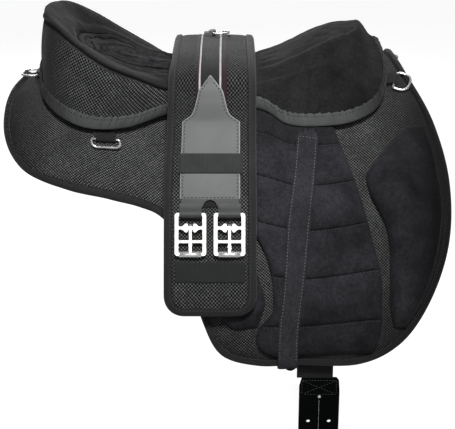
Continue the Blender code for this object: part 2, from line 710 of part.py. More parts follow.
def build_seat():
    """The long foam seat: walls from hem to seam, and a top with three sewn rings behind."""
    crest = curve_through(CREST_HEIGHT)
    shares = rim_shares()
    points, faces = [], []
    for side in SIDES.values():
        first = len(points)
        width = 0
        for share in shares:
            _, seam, cx, rise, groove = seat_section(share, side)
            hx, hv, lift, _, _, rim_height = spline(SEAT_STATIONS, share)[:6]
            line = []
            for k in range(SEAT_BOTTOM_ROWS):
                part = k / SEAT_BOTTOM_ROWS
                bx = cx + (hx - cx) * part
                line.append(skin(bx, max(hv, 0.0) * part, SEAT_LIFT + (lift - SEAT_LIFT) * part, side))
            top = hem_top(share, side)
            line += [wall_point(share, up, side) for up in (0.0, top / 2, top, (top + 1) / 2)]
            fade = 1 - smooth_step((share - SEAT_RING_END + 0.08) / 0.08)
            for t in SEAT_TOP_ROWS:
                inside = t / SEAT_RINGS[0]
                if inside < 1:
                    height = rim_height + (groove - rim_height) * smooth_step(inside)
                    height += rise * math.sin(math.pi * inside)
                else:
                    beyond = (1 - t) / (1 - SEAT_RINGS[0])
                    height = crest(cx) + (groove - crest(cx)) * beyond ** 2
                if t in SEAT_RINGS:
                    height -= SEAT_SEAM_DEPTH * fade
                x = seam.x + (cx - seam.x) * t
                line.append(Vector((x, seam.y * (1 - t), ridge(x) + height)))
            width = len(line)
            points += line
        for i in range(len(shares) - 1):
            for j in range(width - 1):
                a = first + i * width + j
                faces.append((a, a + 1, a + width + 1, a + width))
    add_object("seat_cushion", points, faces, mesh_cloth())


def rim_shares():
    """Where the seat has its sections round the rim, closer together at the pommel's tight corner."""
    return sorted(spread(0.0, 1.0, SEAT_COLUMNS) + [1 - (k + 0.5) / SEAT_COLUMNS for k in range(4)])


def round_the_rim(shares):
    """These shares on both sides, from the right side over the rear to the left."""
    return [(share, -1) for share in reversed(shares)] + [(share, 1) for share in shares[1:]]


def build_seat_trim():
    """The puckered binding round the seat's lower edge, and the welt along the rear seam."""
    sections = []
    places = round_the_rim(rim_shares())
    for share, side in places[:-1]:
        up = hem_top(share, side)
        sections.append([wall_point(share, 0.0, side, HEM_GAP), wall_point(share, up * 0.5, side, 2 * HEM_GAP),
                         wall_point(share, up, side, HEM_GAP), wall_point(share, up * 0.80, side, HEM_PROUD),
                         wall_point(share, 0.0, side, HEM_PROUD)])
    ring_solid("seat_hem_binding", sections, binding_cloth(), closed=True)
    center = []
    for share, side in round_the_rim(spread(0.0, PIPING_END, 18)):
        out = outward(share, side)
        seam = seat_section(share, side)[1]
        center.append((seam + (out + Vector((0, 0, 0.5))).normalized() * (PIPING_RADIUS + 2 * TOUCH), out))
    sections = []
    for k, (middle, out) in enumerate(center):
        run = (center[min(k + 1, len(center) - 1)][0] - center[max(k - 1, 0)][0]).normalized()
        up = run.cross(out).normalized()
        level = up.cross(run).normalized()
        sections.append([middle + level * u + up * v for u, v in circle(PIPING_RADIUS, 5)])
    ring_solid("seat_piping", sections, suede(), closed=False)


def wire_ring(name, start, along, up, size, pivot):
    """A D-ring: a straight bar at start along one direction, and a bow that reaches up from it."""
    half, depth = size[0] / 2, size[1]
    bend = depth / 2
    path = circle(bend, 3, (half - bend, depth - bend), 0, math.pi / 2)
    path += circle(bend, 3, (-half + bend, depth - bend), math.pi / 2, math.pi / 2)
    path += circle(0.003, 3, (-half + 0.003, 0.003), math.pi, math.pi / 2)
    path += circle(0.003, 3, (half - 0.003, 0.003), -math.pi / 2, math.pi / 2)
    through = along.cross(up)
    sections = []
    for k, (u, v) in enumerate(path):
        before, after = path[k - 1], path[(k + 1) % len(path)]
        du, dv = after[0] - before[0], after[1] - before[1]
        run = math.hypot(du, dv)
        out = along * (dv / run) + up * (-du / run)
        middle = start + along * u + up * v
        sections.append([middle + out * p + through * q for p, q in circle(WIRE, 6)])
    ring_solid(name, sections, steel(), closed=True, pivot=pivot)


def ring_tab(name, start, up, square, width, material):
    """The webbing tab folded round a ring's bar: its tail runs back from the bar, against the cloth."""
    hole = WIRE + BORE_GAP
    outer = hole + TAB_THICK
    profile = circle(outer, 7, (0, 0), -math.pi / 2, math.pi)
    profile += [(-TAB_LENGTH, -outer + 2 * TAB_THICK + 0.0004), (-TAB_LENGTH, -outer)]
    plate(name, [profile, circle(hole, 8)], start, up, square, -width / 2, width / 2, material)


def build_ring(name, start, along, up, size, tab_name, tab_material):
    """A D-ring and its tab. The tab's tail runs against up, and the ring lies the way up points."""
    square = along.cross(up).normalized()
    wire_ring(name, start, along, up, size, start)
    ring_tab(tab_name, start, up, square, size[0] - TAB_SLACK, tab_material)


def skin_frame(x, v, lift, side):
    """A point over the skin, with the skin's forward and downward directions."""
    here = skin(x, v, lift, side)
    forward = (skin(x + 0.004, v, lift, side) - skin(x - 0.004, v, lift, side)).normalized()
    down = skin(x, v + 0.004, lift, side) - skin(x, v - 0.004, lift, side)
    down = (down - forward * down.dot(forward)).normalized()
    return here, forward, down


def build_rings():
    """Two rear rings, two front rings, and the crupper ring on the ridge behind the cantle."""
    for word, side in SIDES.items():
        here, forward, down = skin_frame(*SIDE_RING_AT, RING_LIFT, side)
        bow = down * math.cos(SIDE_RING_TURN) + forward * math.sin(SIDE_RING_TURN)
        bar = forward * math.cos(SIDE_RING_TURN) - down * math.sin(SIDE_RING_TURN)
        build_ring(f"rear_ring_{word}", here, bar * side, bow, SIDE_RING, f"rear_ring_tab_{word}", webbing())
        here, forward, down = skin_frame(*FRONT_RING_AT, RING_LIFT, side)
        bow = forward * math.cos(FRONT_RING_TURN) + down * math.sin(FRONT_RING_TURN)
        bar = down * math.cos(FRONT_RING_TURN) - forward * math.sin(FRONT_RING_TURN)
        build_ring(f"front_ring_{word}", here, bar * -side, bow, FRONT_RING, f"front_ring_tab_{word}",
                   webbing())
    here = Vector((CRUPPER_RING_X, 0.0, ridge(CRUPPER_RING_X) + RING_LIFT))
    build_ring("crupper_ring", here, Vector((0, 1, 0)), Vector((-1, 0, 0)), CRUPPER_RING, "crupper_ring_tab",
               webbing())


def build_billets():
    """Under each flap a webbing hanger turns on the rigging web and carries a pair of leather billets."""
    for word, side in SIDES.items():
        pivot = billet_pivot(side)
        along = Vector((1, 0, 0))
        down = Vector((0, 0, -1))
        half = (WEB_X[1] - WEB_X[0]) / 2
        radius = WEB_THICK / 2
        fold = circle(radius, 5, (0, 0), math.pi, math.pi)
        fold += [(radius, HANGER_LENGTH), (-radius, HANGER_LENGTH)]
        plate(f"billet_hanger_{word}", [fold], pivot, Vector((0, 1, 0)), down, -half, half, webbing(), pivot)
        outer, holes = billet_outline()
        start = pivot + down * (HANGER_LENGTH + TOUCH) + along * BILLET_SHIFT
        plate(f"billets_{word}", [outer, *holes], start, along, down, -BILLET_THICK / 2, BILLET_THICK / 2,
              billet_leather(), pivot)


def billet_pivot(side):
    """The line that a billet swings on, just below the end of the rigging web."""
    middle = sum(WEB_X) / 2
    end = skin(middle, WEB_END, -SKIRT_THICK - UNDER_GAP - WEB_THICK / 2, side)
    return Vector((middle, end.y, end.z - WEB_THICK / 2 - 2 * TOUCH))


def billet_outline():
    """Two straps of one leather, with a slit between them, tapered tips and a row of holes in each."""
    slit = BILLET_SLIT / 2
    full = slit + BILLET_WIDTH
    outer = [(-full + 0.003, 0.0), (full - 0.004, 0.0), (full, 0.018)]
    outer += billet_tip(full, slit)
    outer += [(slit, BILLET_SLIT_START), (-slit, BILLET_SLIT_START)]
    outer += billet_tip(-slit, -full)
    outer += [(-full, 0.010)]
    center = slit + BILLET_WIDTH / 2
    holes = []
    for k in range(BILLET_HOLES):
        place = BILLET_FIRST_HOLE + k * BILLET_HOLE_STEP
        holes += [circle(BILLET_HOLE, 5, (c, place)) for c in (-center, center)]
    return outer, holes


def billet_tip(near, far):
    """The tapered tip of one billet, from its edge at near to its edge at far."""
    inward = math.copysign(1.0, far - near)
    steps = ((0.0, BILLET_TIP), (0.008, 0.003), (0.0105, 0.0))
    tip = [(near + inward * u, BILLET_LENGTH - v) for u, v in steps]
    tip += [(far - inward * u, BILLET_LENGTH - v) for u, v in reversed(steps)]
    return tip


class Girth:
    """The girth's section across the saddle as one smooth path, measured along itself."""

    def __init__(self):
        mirrored = [(-y, z) for y, z in reversed(GIRTH_PATH[1:])]
        self.points = even_points(tuple(mirrored) + GIRTH_PATH, 400)
        self.lengths = [0.0]
        for a, b in zip(self.points, self.points[1:]):
            self.lengths.append(self.lengths[-1] + math.dist(a, b))
        self.half = self.lengths[-1] / 2
        self.stops = girth_stops(-self.half, self.half)
        self.narrow = curve_through(GIRTH_NARROWS)

    def at(self, s):
        """Point, downhill tangent and outward normal at s from the middle, negative to the right."""
        place = (s + self.half) / self.lengths[-1] * 400
        i = min(max(int(place), 1), 398)
        f = place - i
        a, b = self.points[i], self.points[i + 1]
        y, z = a[0] + (b[0] - a[0]) * f, a[1] + (b[1] - a[1]) * f
        before, after = self.points[i - 1], self.points[min(i + 2, 400)]
        tangent = Vector((0, after[0] - before[0], after[1] - before[1])).normalized()
        normal = Vector((0, -tangent.z, tangent.y))
        return Vector((GIRTH_X, y, z)), tangent, normal

    def lifted(self, x, s, lift):
        """A point over the girth's underside, x measured from the girth's own middle."""
        after = next((k for k, stop in enumerate(self.stops) if stop > s), len(self.stops) - 1)
        ends = []
        for stop in self.stops[after - 1:after + 1]:
            here, _, normal = self.at(stop)
            ends.append(here + normal * lift)
        share = (s - self.stops[after - 1]) / (self.stops[after] - self.stops[after - 1])
        width = 1 - self.narrow(abs(s)) if x < 0 else 1
        return ends[0].lerp(ends[1], share) + X_AXIS * x * width


def girth_stops(start, end):
    """Places along the girth where every piece of it bends, closer together over the seat's shoulders."""
    every = sorted({sign * s for s in GIRTH_STOPS for sign in (-1, 1)})
    return [start] + [s for s in every if start + 0.003 < s < end - 0.003] + [end]


def girth_sheet(name, girth, rows, low, thick, material):
    """A piece that lies along the girth: rows hold (x, s) pairs, and low may change with x."""
    base = low if callable(low) else lambda x: low
    lower = [[girth.lifted(x, s, base(x)) for x, s in row] for row in rows]
    upper = [[girth.lifted(x, s, base(x) + thick) for x, s in row] for row in rows]
    sheet_solid(name, lower, upper, material)


def build_girth(girth):
    """The girth's padded body, its bound edge, webs, leathers, keepers and end bands."""
    half, reach = GIRTH_WIDTH / 2, girth.half
    inner = half - GIRTH_EDGE - TOUCH
    end = reach - GIRTH_EDGE - TOUCH
    corner = GIRTH_CORNER - GIRTH_EDGE
    turned = [corner * (1 - math.cos(math.pi / 2 * k / 3)) for k in range(4)]
    values = [-end + t for t in turned] + girth_stops(-end + corner, end - corner)[1:-1]
    values += [end - t for t in reversed(turned)]
    rows = []
    for s in values:
        beyond = max(abs(s) - (end - corner), 0.0)
        width = inner - corner + math.sqrt(max(corner ** 2 - beyond ** 2, 0.0))
        rows.append([(x, s) for x in spread(-width, width, 2)])
    girth_sheet("girth_pad", girth, rows, 0.0, GIRTH_THICK, mesh_cloth())
    loop = []
    straight = girth_stops(-reach + GIRTH_CORNER, reach - GIRTH_CORNER)
    for x_sign, s_sign in ((1, 1), (-1, 1), (-1, -1), (1, -1)):
        start = {(1, 1): 0, (-1, 1): 1, (-1, -1): 2, (1, -1): 3}[(x_sign, s_sign)] * math.pi / 2
        center = (x_sign * (half - GIRTH_CORNER), s_sign * (reach - GIRTH_CORNER))
        for k in range(4):
            turn = start + math.pi / 2 * k / 3
            loop.append((center, Vector((math.cos(turn), math.sin(turn), 0))))
        if (x_sign, s_sign) == (-1, 1):
            loop += [((-half + GIRTH_CORNER, s), Vector((-1, 0, 0))) for s in reversed(straight[1:-1])]
        if (x_sign, s_sign) == (1, -1):
            loop += [((half - GIRTH_CORNER, s), Vector((1, 0, 0))) for s in straight[1:-1]]
    sections = []
    inside = GIRTH_CORNER - GIRTH_EDGE
    profile = ((inside, -0.0004), (GIRTH_CORNER, GIRTH_THICK * 0.2), (GIRTH_CORNER, GIRTH_THICK * 0.8),
               (inside, GIRTH_THICK + 0.0008))
    for (x, s), out in loop:
        section = []
        for reach_out, lift in profile:
            section.append(girth.lifted(x + out.x * reach_out, s + out.y * reach_out, lift))
        sections.append(section)
    ring_solid("girth_binding", sections, webbing(), closed=True)

    web_low = GIRTH_THICK + TOUCH
    leather_low = web_low + CENTER_WEB_THICK + TOUCH
    leather_end = LEATHER_BAR - 0.0083
    rows = [[(x, s) for x in spread(-CENTER_WEB_WIDTH / 2, CENTER_WEB_WIDTH / 2, 1)]
            for s in girth_stops(-leather_end, leather_end)]
    girth_sheet("girth_center_web", girth, rows, web_low, CENTER_WEB_THICK, webbing())
    width_at = curve_through(LEATHER_WIDTHS)
    notch = LEATHER_NOTCH
    across_shares = [-1, -notch * 1.06, -notch * 0.75, 0, notch * 0.75, notch * 1.06, 1]
    for word, side in SIDES.items():
        rows = []
        leather_length = leather_end - LEATHER_TIP
        places = {value for value, _ in LEATHER_WIDTHS[:-1]} | {leather_length}
        places |= {s - LEATHER_TIP for s in GIRTH_STOPS if LEATHER_TIP + 0.003 < s < leather_end}
        for value in sorted(places):
            width = width_at(value)
            row = []
            for share in across_shares:
                near_middle = abs(share) < notch * 1.1
                x = share * width if not near_middle else share * min(1.0, width / 0.010)
                low_part = max(0.0, (LEATHER_TIP + value - NOTCH_START) / (leather_end - NOTCH_START))
                cut = math.sqrt(max(notch ** 2 - x ** 2, 0.0)) * low_part
                row.append((x, side * (LEATHER_TIP + value - cut)))
            rows.append(row)
        girth_sheet(f"girth_leather_{word}", girth, rows, leather_low, LEATHER_THICK, girth_leather())
        over = leather_low + LEATHER_THICK + TOUCH
        step = LEATHER_WIDTH / 2
        stops = (0.0006, 0.0012, KEEPER_OVERHANG)
        xs = [-step - u for u in reversed(stops)] + [0.0] + [step + u for u in stops]
        rows = [[(x, side * s) for x in xs] for s in spread(KEEPER_TOP, KEEPER_TOP + KEEPER_LENGTH, 3)]
        girth_sheet(f"girth_keeper_{word}", girth, rows, lambda x: web_low if abs(x) > step + 0.001 else over,
                    KEEPER_THICK, elastic())
        start = LEATHER_BAR + END_BAND_START
        rows = [[(x, side * s) for x in spread(-END_BAND_WIDTH / 2, END_BAND_WIDTH / 2, 2)]
                for s in spread(start, start + END_BAND_LENGTH, 3)]
        girth_sheet(f"girth_end_band_{word}", girth, rows, web_low, CENTER_WEB_THICK, elastic())


def buckle_frame_axes(girth, side, offset):
    """A buckle's upper bar, with the directions across it, down the strap and out of the girth."""
    middle = side * (LEATHER_BAR + END_BAR / 2)
    _, tangent, normal = girth.at(middle)
    bar, _, bar_normal = girth.at(side * LEATHER_BAR)
    start = bar + X_AXIS * offset + bar_normal * BAR_LIFT
    return start, tangent * side, normal


def build_buckles(girth):
    """Four roller buckles. The frame turns in its leather loop, the tongue on the frame's second bar."""
    number = {-1: "rear", 1: "front"}
    half_bar = BUCKLE_BAR / 2
    for word, side in SIDES.items():
        for place, label in number.items():
            start, down, square = buckle_frame_axes(girth, side, place * BUCKLE_SPACING / 2)
            along = down.cross(square)
            outer = rounded(BUCKLE_WIDTH / 2, -half_bar, END_BAR + half_bar, 0.0025, 2)
            window = BUCKLE_WIDTH / 2 - BUCKLE_SIDE
            gaps = ((half_bar, HINGE_BAR - half_bar), (HINGE_BAR + half_bar, PLAIN_BAR - half_bar),
                    (PLAIN_BAR + half_bar, END_BAR - half_bar))
            holes = [[(-window, a), (window, a), (window, b), (-window, b)] for a, b in gaps]
            holes[0][3:3] = knuckle_edge(HINGE_BAR - half_bar, -1)
            holes[1][1:1] = knuckle_edge(HINGE_BAR + half_bar, 1)
            frame = f"buckle_frame_{word}_{label}"
            half_thick = BUCKLE_THICK / 2
            plate(frame, [outer, *holes], start, along, down, -half_thick, half_thick, steel(), start)
            build_tongue(f"buckle_tongue_{word}_{label}", start + down * HINGE_BAR, along, down, square)
            roller = start + down * END_BAR
            tube = [circle(ROLLER_OUTER, 10), circle(half_bar * 1.414 + BORE_GAP, 10)]
            plate(f"buckle_roller_{word}_{label}", tube, roller, down, square, -window + 0.001, window - 0.001,
                  steel(), roller)
            join_loop(girth, f"{word}_{label}", bpy.data.objects[f"girth_leather_{word}"], start, side)


def knuckle_edge(bar_edge, way):
    """The edge of the second bar where it swells into a round knuckle on each side of the tongue."""
    half = [(-u, bar_edge + way * rise) for u, rise in KNUCKLE]
    edge = half + [(-u, v) for u, v in reversed(half)]
    return edge if way > 0 else edge[::-1]


def build_tongue(name, start, along, down, square):
    """The tongue: a collar on the second bar, and a pin that lies over the plain bar on the roller."""
    hole = BUCKLE_BAR / 2 * 1.414 + BORE_GAP
    rest = ROLLER_OUTER + TOUCH
    reach = END_BAR - HINGE_BAR
    low = BUCKLE_THICK / 2 + 2 * TOUCH
    start_angle = math.acos(low / COLLAR_OUTER)
    profile = circle(COLLAR_OUTER, 9, (0, 0), math.pi / 2, 2 * math.pi - start_angle)
    profile += [(reach * 0.75, low + 0.0004), (reach - 0.002, rest), (reach + 0.0025, rest - 0.0002),
                (reach + 0.0028, rest + TONGUE_THICK * 0.5), (reach, rest + TONGUE_THICK * 0.9),
                (reach * 0.7, low + TONGUE_THICK + 0.0002)]
    half_width = TONGUE_WIDTH / 2
    plate(name, [profile, circle(hole, 8)], start, down, square, -half_width, half_width, steel(), start)


def join_loop(girth, label, leather, start, side):
    """Fold the leather round a buckle's upper bar: a loop with a tail, joined to the leather's edge."""
    _, tangent, square = girth.at(side * (LEATHER_BAR - 0.003))
    down = tangent * side
    hole = BUCKLE_BAR / 2 * 1.414 + BORE_GAP
    profile = circle(LOOP_OUTER, 7, (0, 0), -math.pi / 2, math.pi)
    profile += [(-0.0040, 0.0025), (-0.0080, -0.0010), (-0.0130, -0.0010), (-0.0130, -0.0045)]
    half_width = LOOP_WIDTH / 2
    loop = plate(f"loop_{label}", [profile, circle(hole, 8)], start, down, square, -half_width, half_width,
                 girth_leather())
    loop.hide_render = True
    loop.display_type = "WIRE"
    union = leather.modifiers.new(f"fold_{label}", "BOOLEAN")
    union.operation = "UNION"
    union.object = loop


def build_girth_ring(girth):
    """The ring at the girth's middle and the leather tab that holds it."""
    lift = GIRTH_THICK + TOUCH + CENTER_WEB_THICK + TOUCH + WIRE + BORE_GAP + TAB_THICK
    start = girth.lifted(0.002, GIRTH_RING_AT, lift)
    _, tangent, _ = girth.at(GIRTH_RING_AT)
    build_ring("girth_ring", start, -tangent, X_AXIS, CRUPPER_RING, "girth_ring_tab", girth_leather())


def main():
    clear_scene()
    build_skirts()
    build_quilted_flaps()
    build_rolls()
    build_flap_straps()
    build_panels()
    build_inserts()
    build_seat()
    build_seat_trim()
    build_rings()
    build_billets()
    girth = Girth()
    build_girth(girth)
    build_buckles(girth)
    build_girth_ring(girth)


main()
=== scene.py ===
# %% [markdown]
# # A treeless saddle
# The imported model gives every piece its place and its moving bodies. This lesson dresses it: the suede-look
# seat, the spacer mesh, the bindings, the padded girth with its roller buckles, and the stitches.
# It works in metres. +X points to the pommel, -Y is the saddle's right side, which faces the camera.

# %% Load the frame
import math

import bmesh
import bpy
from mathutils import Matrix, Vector, noise
from mathutils.geometry import tessellate_polygon


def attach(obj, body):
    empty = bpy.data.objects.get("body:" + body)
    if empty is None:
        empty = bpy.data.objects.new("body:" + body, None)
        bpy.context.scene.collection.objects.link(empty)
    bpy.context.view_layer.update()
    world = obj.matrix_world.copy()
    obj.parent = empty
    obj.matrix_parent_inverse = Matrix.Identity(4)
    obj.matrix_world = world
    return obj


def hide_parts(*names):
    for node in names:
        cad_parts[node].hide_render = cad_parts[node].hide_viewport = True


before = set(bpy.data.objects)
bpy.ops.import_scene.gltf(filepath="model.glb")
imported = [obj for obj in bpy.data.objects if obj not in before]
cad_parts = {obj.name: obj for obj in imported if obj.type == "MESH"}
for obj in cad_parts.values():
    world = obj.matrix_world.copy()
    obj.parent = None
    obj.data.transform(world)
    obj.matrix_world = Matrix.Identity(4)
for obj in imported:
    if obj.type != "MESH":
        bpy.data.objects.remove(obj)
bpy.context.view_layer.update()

SIDES = {"left": 1, "right": -1}
X_AXIS = Vector((1, 0, 0))
QUARTER = math.pi / 2

# %% [markdown]
# ## The camera
# The photograph looks down a little on the saddle's right side through a long lens. The camera aims at a
# point on the mid-plane, and its distance and its lens come from the sizes of the near and far edges.

# %% Camera
AIM = Vector((0.0, 0.0, -0.176))
CAMERA_DISTANCE = 1.6
CAMERA_ELEVATION = math.radians(20)
LENS_PIXELS = 1194          # focal length, in pixels of the 455 x 429 frame
FRAME_WIDTH = 455

camera_data = bpy.data.cameras.new("camera")
camera_data.sensor_width = 36
camera_data.lens = LENS_PIXELS / FRAME_WIDTH * camera_data.sensor_width
camera = bpy.data.objects.new("camera", camera_data)
backwards = Vector((0, -math.cos(CAMERA_ELEVATION), math.sin(CAMERA_ELEVATION)))
camera.location = AIM + backwards * CAMERA_DISTANCE
camera.rotation_euler = (QUARTER - CAMERA_ELEVATION, 0, 0)
bpy.context.scene.collection.objects.link(camera)
bpy.context.scene.camera = camera
bpy.context.scene.view_settings.view_transform = "Standard"
print("camera", camera.location)

# %% [markdown]
# ## Shader maths in plain expressions
# A material is a graph of nodes. It reads better as arithmetic, so a small class wraps a socket, and each
# operator on it adds the node that does the sum. Every other node comes from Shade.node.


# %% Sockets that add, multiply and mix
class Signal:
    """A value, colour or vector on its way through one material's nodes."""

    def __init__(self, shade, socket):
        self.shade = shade
        self.socket = socket

    def combine(self, operation, other, swap=False):
        if self.socket.type == "VALUE":
            kind = "ShaderNodeMath"
        else:
            kind = "ShaderNodeVectorMath"
            if not isinstance(other, (Signal, tuple)):
                other = (other, other, other)
        pair = (other, self) if swap else (self, other)
        return self.shade.node(kind, {"operation": operation}, {0: pair[0], 1: pair[1]})

    def __add__(self, other):
        return self.combine("ADD", other)

    def __sub__(self, other):
        return self.combine("SUBTRACT", other)

    def __rsub__(self, other):
        return self.combine("SUBTRACT", other, swap=True)

    def __mul__(self, other):
        return self.combine("MULTIPLY", other)

    def __gt__(self, other):
        return self.combine("GREATER_THAN", other)

    def __lt__(self, other):
        return self.combine("LESS_THAN", other)

    __radd__ = __add__
    __rmul__ = __mul__

    def part(self, axis):
        return self.shade.node("ShaderNodeSeparateXYZ", {}, {0: self}, "XYZ".index(axis))

    def ramp(self, *stops):
        """This value looked up in (place, grey) stops."""
        return self.shade.node("ShaderNodeValToRGB", {"stops": stops}, {0: self})


class Shade:
    """One material: its Principled shader, its constants, and the nodes behind its inputs."""

    def __init__(self, name, roughness, metallic=0.0, **constants):
        self.material = bpy.data.materials.new(name)
        self.material.use_nodes = True
        self.nodes = self.material.node_tree.nodes
        self.links = self.material.node_tree.links
        self.shader = self.nodes["Principled BSDF"]
        self.shader.inputs["Roughness"].default_value = roughness
        self.shader.inputs["Metallic"].default_value = metallic
        for socket, value in constants.items():
            self.shader.inputs[socket.replace("_", " ")].default_value = value

    def node(self, kind, settings, inputs, output=0):
        made = self.nodes.new(kind)
        for key, value in settings.items():
            if key == "stops":
                elements = made.color_ramp.elements
                while len(elements) < len(value):
                    elements.new(0.5)
                for element, (place, grey) in zip(elements, value):
                    element.position = place
                    element.color = (grey, grey, grey, 1)
            else:
                setattr(made, key, value)
        for key, value in inputs.items():
            if isinstance(value, Signal):
                self.links.new(value.socket, made.inputs[key])
            else:
                made.inputs[key].default_value = value
        return Signal(self, made.outputs[output])

    def mix(self, factor, a, b):
        """From colour a to colour b as the factor goes from 0 to 1."""
        a, b = ((*c, 1) if isinstance(c, tuple) else c for c in (a, b))
        return self.node("ShaderNodeMix", {"data_type": "RGBA"}, {0: factor, 6: a, 7: b}, 2)

    def place(self):
        """Where a point lies on the object, in metres."""
        return self.node("ShaderNodeTexCoord", {}, {}, 3)

    def with_painted_shade(self, color, painted_shades):
        """The colour, darkened by painted shade towards an end of the saddle: full at start, and a low share of
        it at end.
        """
        for axis, start, end, low in painted_shades:
            share = (self.place().part(axis) - end) * (1 / (start - end))
            color = color * share.ramp((0.0, low), (1.0, 1.0))
        return color

    def cloth(self):
        """Where a point lies on its flat cloth, in metres."""
        return self.node("ShaderNodeUVMap", {"uv_map": "cloth"}, {})

    def wave(self, value, kind="SINE"):
        return self.node("ShaderNodeMath", {"operation": kind}, {0: value})

    def noise(self, where, scale, detail=3.0, roughness=0.5):
        inputs = {"Vector": where, "Scale": scale, "Detail": detail, "Roughness": roughness}
        return self.node("ShaderNodeTexNoise", {}, inputs)

    def finish(self, color, height=None, depth=0.001, roughness=None, strength=1.0):
        if isinstance(color, tuple):
            self.shader.inputs["Base Color"].default_value = (*color, 1)
        else:
            self.links.new(color.socket, self.shader.inputs["Base Color"])
        if roughness is not None:
            self.links.new(roughness.socket, self.shader.inputs["Roughness"])
        if height is not None:
            bump = self.node("ShaderNodeBump", {}, {"Strength": strength, "Distance": depth, "Height": height})
            self.links.new(bump.socket, self.shader.inputs["Normal"])
        return self.material


# %% [markdown]
# ## Suede-look cloth
# Synthetic suede is a short nap. It scatters light sideways, which a little sheen gives, and where a hand has
# brushed it the nap turns lighter or darker in soft patches. Under a lens the fibres show as a fine grain.


# %% Suede
def suede(name, dark, light, painted_shades=()):
    shade = Shade(name, 0.92, Sheen_Weight=0.06, Sheen_Roughness=0.35, Specular_IOR_Level=0.12)
    where = shade.place()
    brushed = shade.noise(where, 26.0, 4.0, 0.6).ramp((0.32, 0.0), (0.68, 1.0))
    tufts = shade.noise(where, 240.0, 3.0, 0.6)
    grain = shade.noise(where, 900.0, 3.0, 0.7)
    tone = shade.mix(brushed, dark, light)
    speckle = grain.ramp((0.3, 0.35), (0.7, 1.0)) * tufts.ramp((0.36, 0.66), (0.66, 1.0))
    return shade.finish(shade.with_painted_shade(tone * speckle, painted_shades), grain * 0.5 + tufts, 0.0010, strength=0.6)


# %% [markdown]
# ## Spacer mesh
# The seat's walls, the skirts and the girth are spacer mesh: a knitted face of small round holes in staggered
# rows, light threads over a black core. The pattern is drawn in the cloth's own flat coordinates, so that it
# follows the piece.


# %% Spacer mesh
MESH_CORE = (0.001, 0.001, 0.001)


def spacer_mesh(name, pitch, thread, painted_shades=()):
    shade = Shade(name, 0.85, Sheen_Weight=0.08, Specular_IOR_Level=0.15)
    flat = shade.cloth()
    rows, lines = (shade.wave(flat.part(axis) * (2 * math.pi / pitch), "COSINE") for axis in "XY")
    staggered = (rows * lines) * 0.5 + 0.5
    holes = staggered.ramp((0.44, 0.0), (0.58, 1.0))
    threads = staggered.ramp((0.05, 1.0), (0.45, 0.50))
    worn = shade.noise(shade.place(), 35.0, 3.0).ramp((0.3, 0.62), (0.7, 0.98))
    yarn = shade.noise(shade.place(), 420.0, 2.0).ramp((0.3, 0.35), (0.7, 1.0))
    color = shade.mix(holes, thread, MESH_CORE) * worn * yarn * threads
    return shade.finish(shade.with_painted_shade(color, painted_shades), 1.0 - holes, 0.0006, strength=0.8)


# %% [markdown]
# ## Bindings, webbing and elastic
# The bindings are plain woven tapes. Webbing shows its weave as fine ribs along the strap, elastic as ribs
# across it. All three are one function with other pitches.


# %% Woven tape
def woven(name, color, rib_pitch, pick_pitch, contrast=0.25, stripes=(), painted_shades=()):
    shade = Shade(name, 0.8, Sheen_Weight=0.1, Specular_IOR_Level=0.3)
    flat = shade.cloth()
    ribs = shade.wave(flat.part("X") * (2 * math.pi / rib_pitch))
    picks = shade.wave(flat.part("Y") * (2 * math.pi / pick_pitch))
    weave = ribs * 0.5 + picks * 0.5
    tone = weave.ramp((0.0, 1.0 - 2 * contrast), (1.0, 1.0))
    worn = shade.noise(shade.place(), 60.0, 3.0).ramp((0.3, 0.75), (0.7, 1.0))
    for low, high, paint in stripes:
        inside = (flat.part("X") > low) * (flat.part("X") < high)
        color = shade.mix(inside, color, paint)
    return shade.finish(shade.with_painted_shade(tone * worn * color, painted_shades), weave, 0.0003, strength=0.6)


# %% [markdown]
# ## Leather and metal
# Leather has a fine pebble with creases between the grains, and shows a soft shine. The buckles and rings
# are bright plated steel, a little rougher where they have been handled.


# %% Leather and plated steel
def leather(name, color, roughness, gloss=0.5):
    shade = Shade(name, roughness, Specular_IOR_Level=gloss)
    where = shade.place()
    pebble = shade.node("ShaderNodeTexVoronoi", {"feature": "SMOOTH_F1"}, {"Vector": where, "Scale": 900.0})
    soft = shade.noise(where, 40.0, 4.0)
    tone = soft.ramp((0.3, 0.80), (0.7, 1.0))
    rubbed = soft.ramp((0.3, roughness - 0.06), (0.7, roughness + 0.08))
    return shade.finish(tone * color, pebble + soft * 0.5, 0.0003, rubbed, 0.4)


def plated_steel():
    shade = Shade("plated_steel", 0.14, 0.75)
    handled = shade.noise(shade.place(), 180.0, 4.0)
    rub = handled.ramp((0.35, 0.16), (0.75, 0.34))
    return shade.finish((0.93, 0.93, 0.92), handled, 0.0001, rub, 0.15)


# %% [markdown]
# ## Every material by its name
# Light falls off towards both ends of the saddle. The key light does most of that, and painted shade makes the
# cloth there a little darker as well. Each fade is an axis, where it starts and ends, and a share.

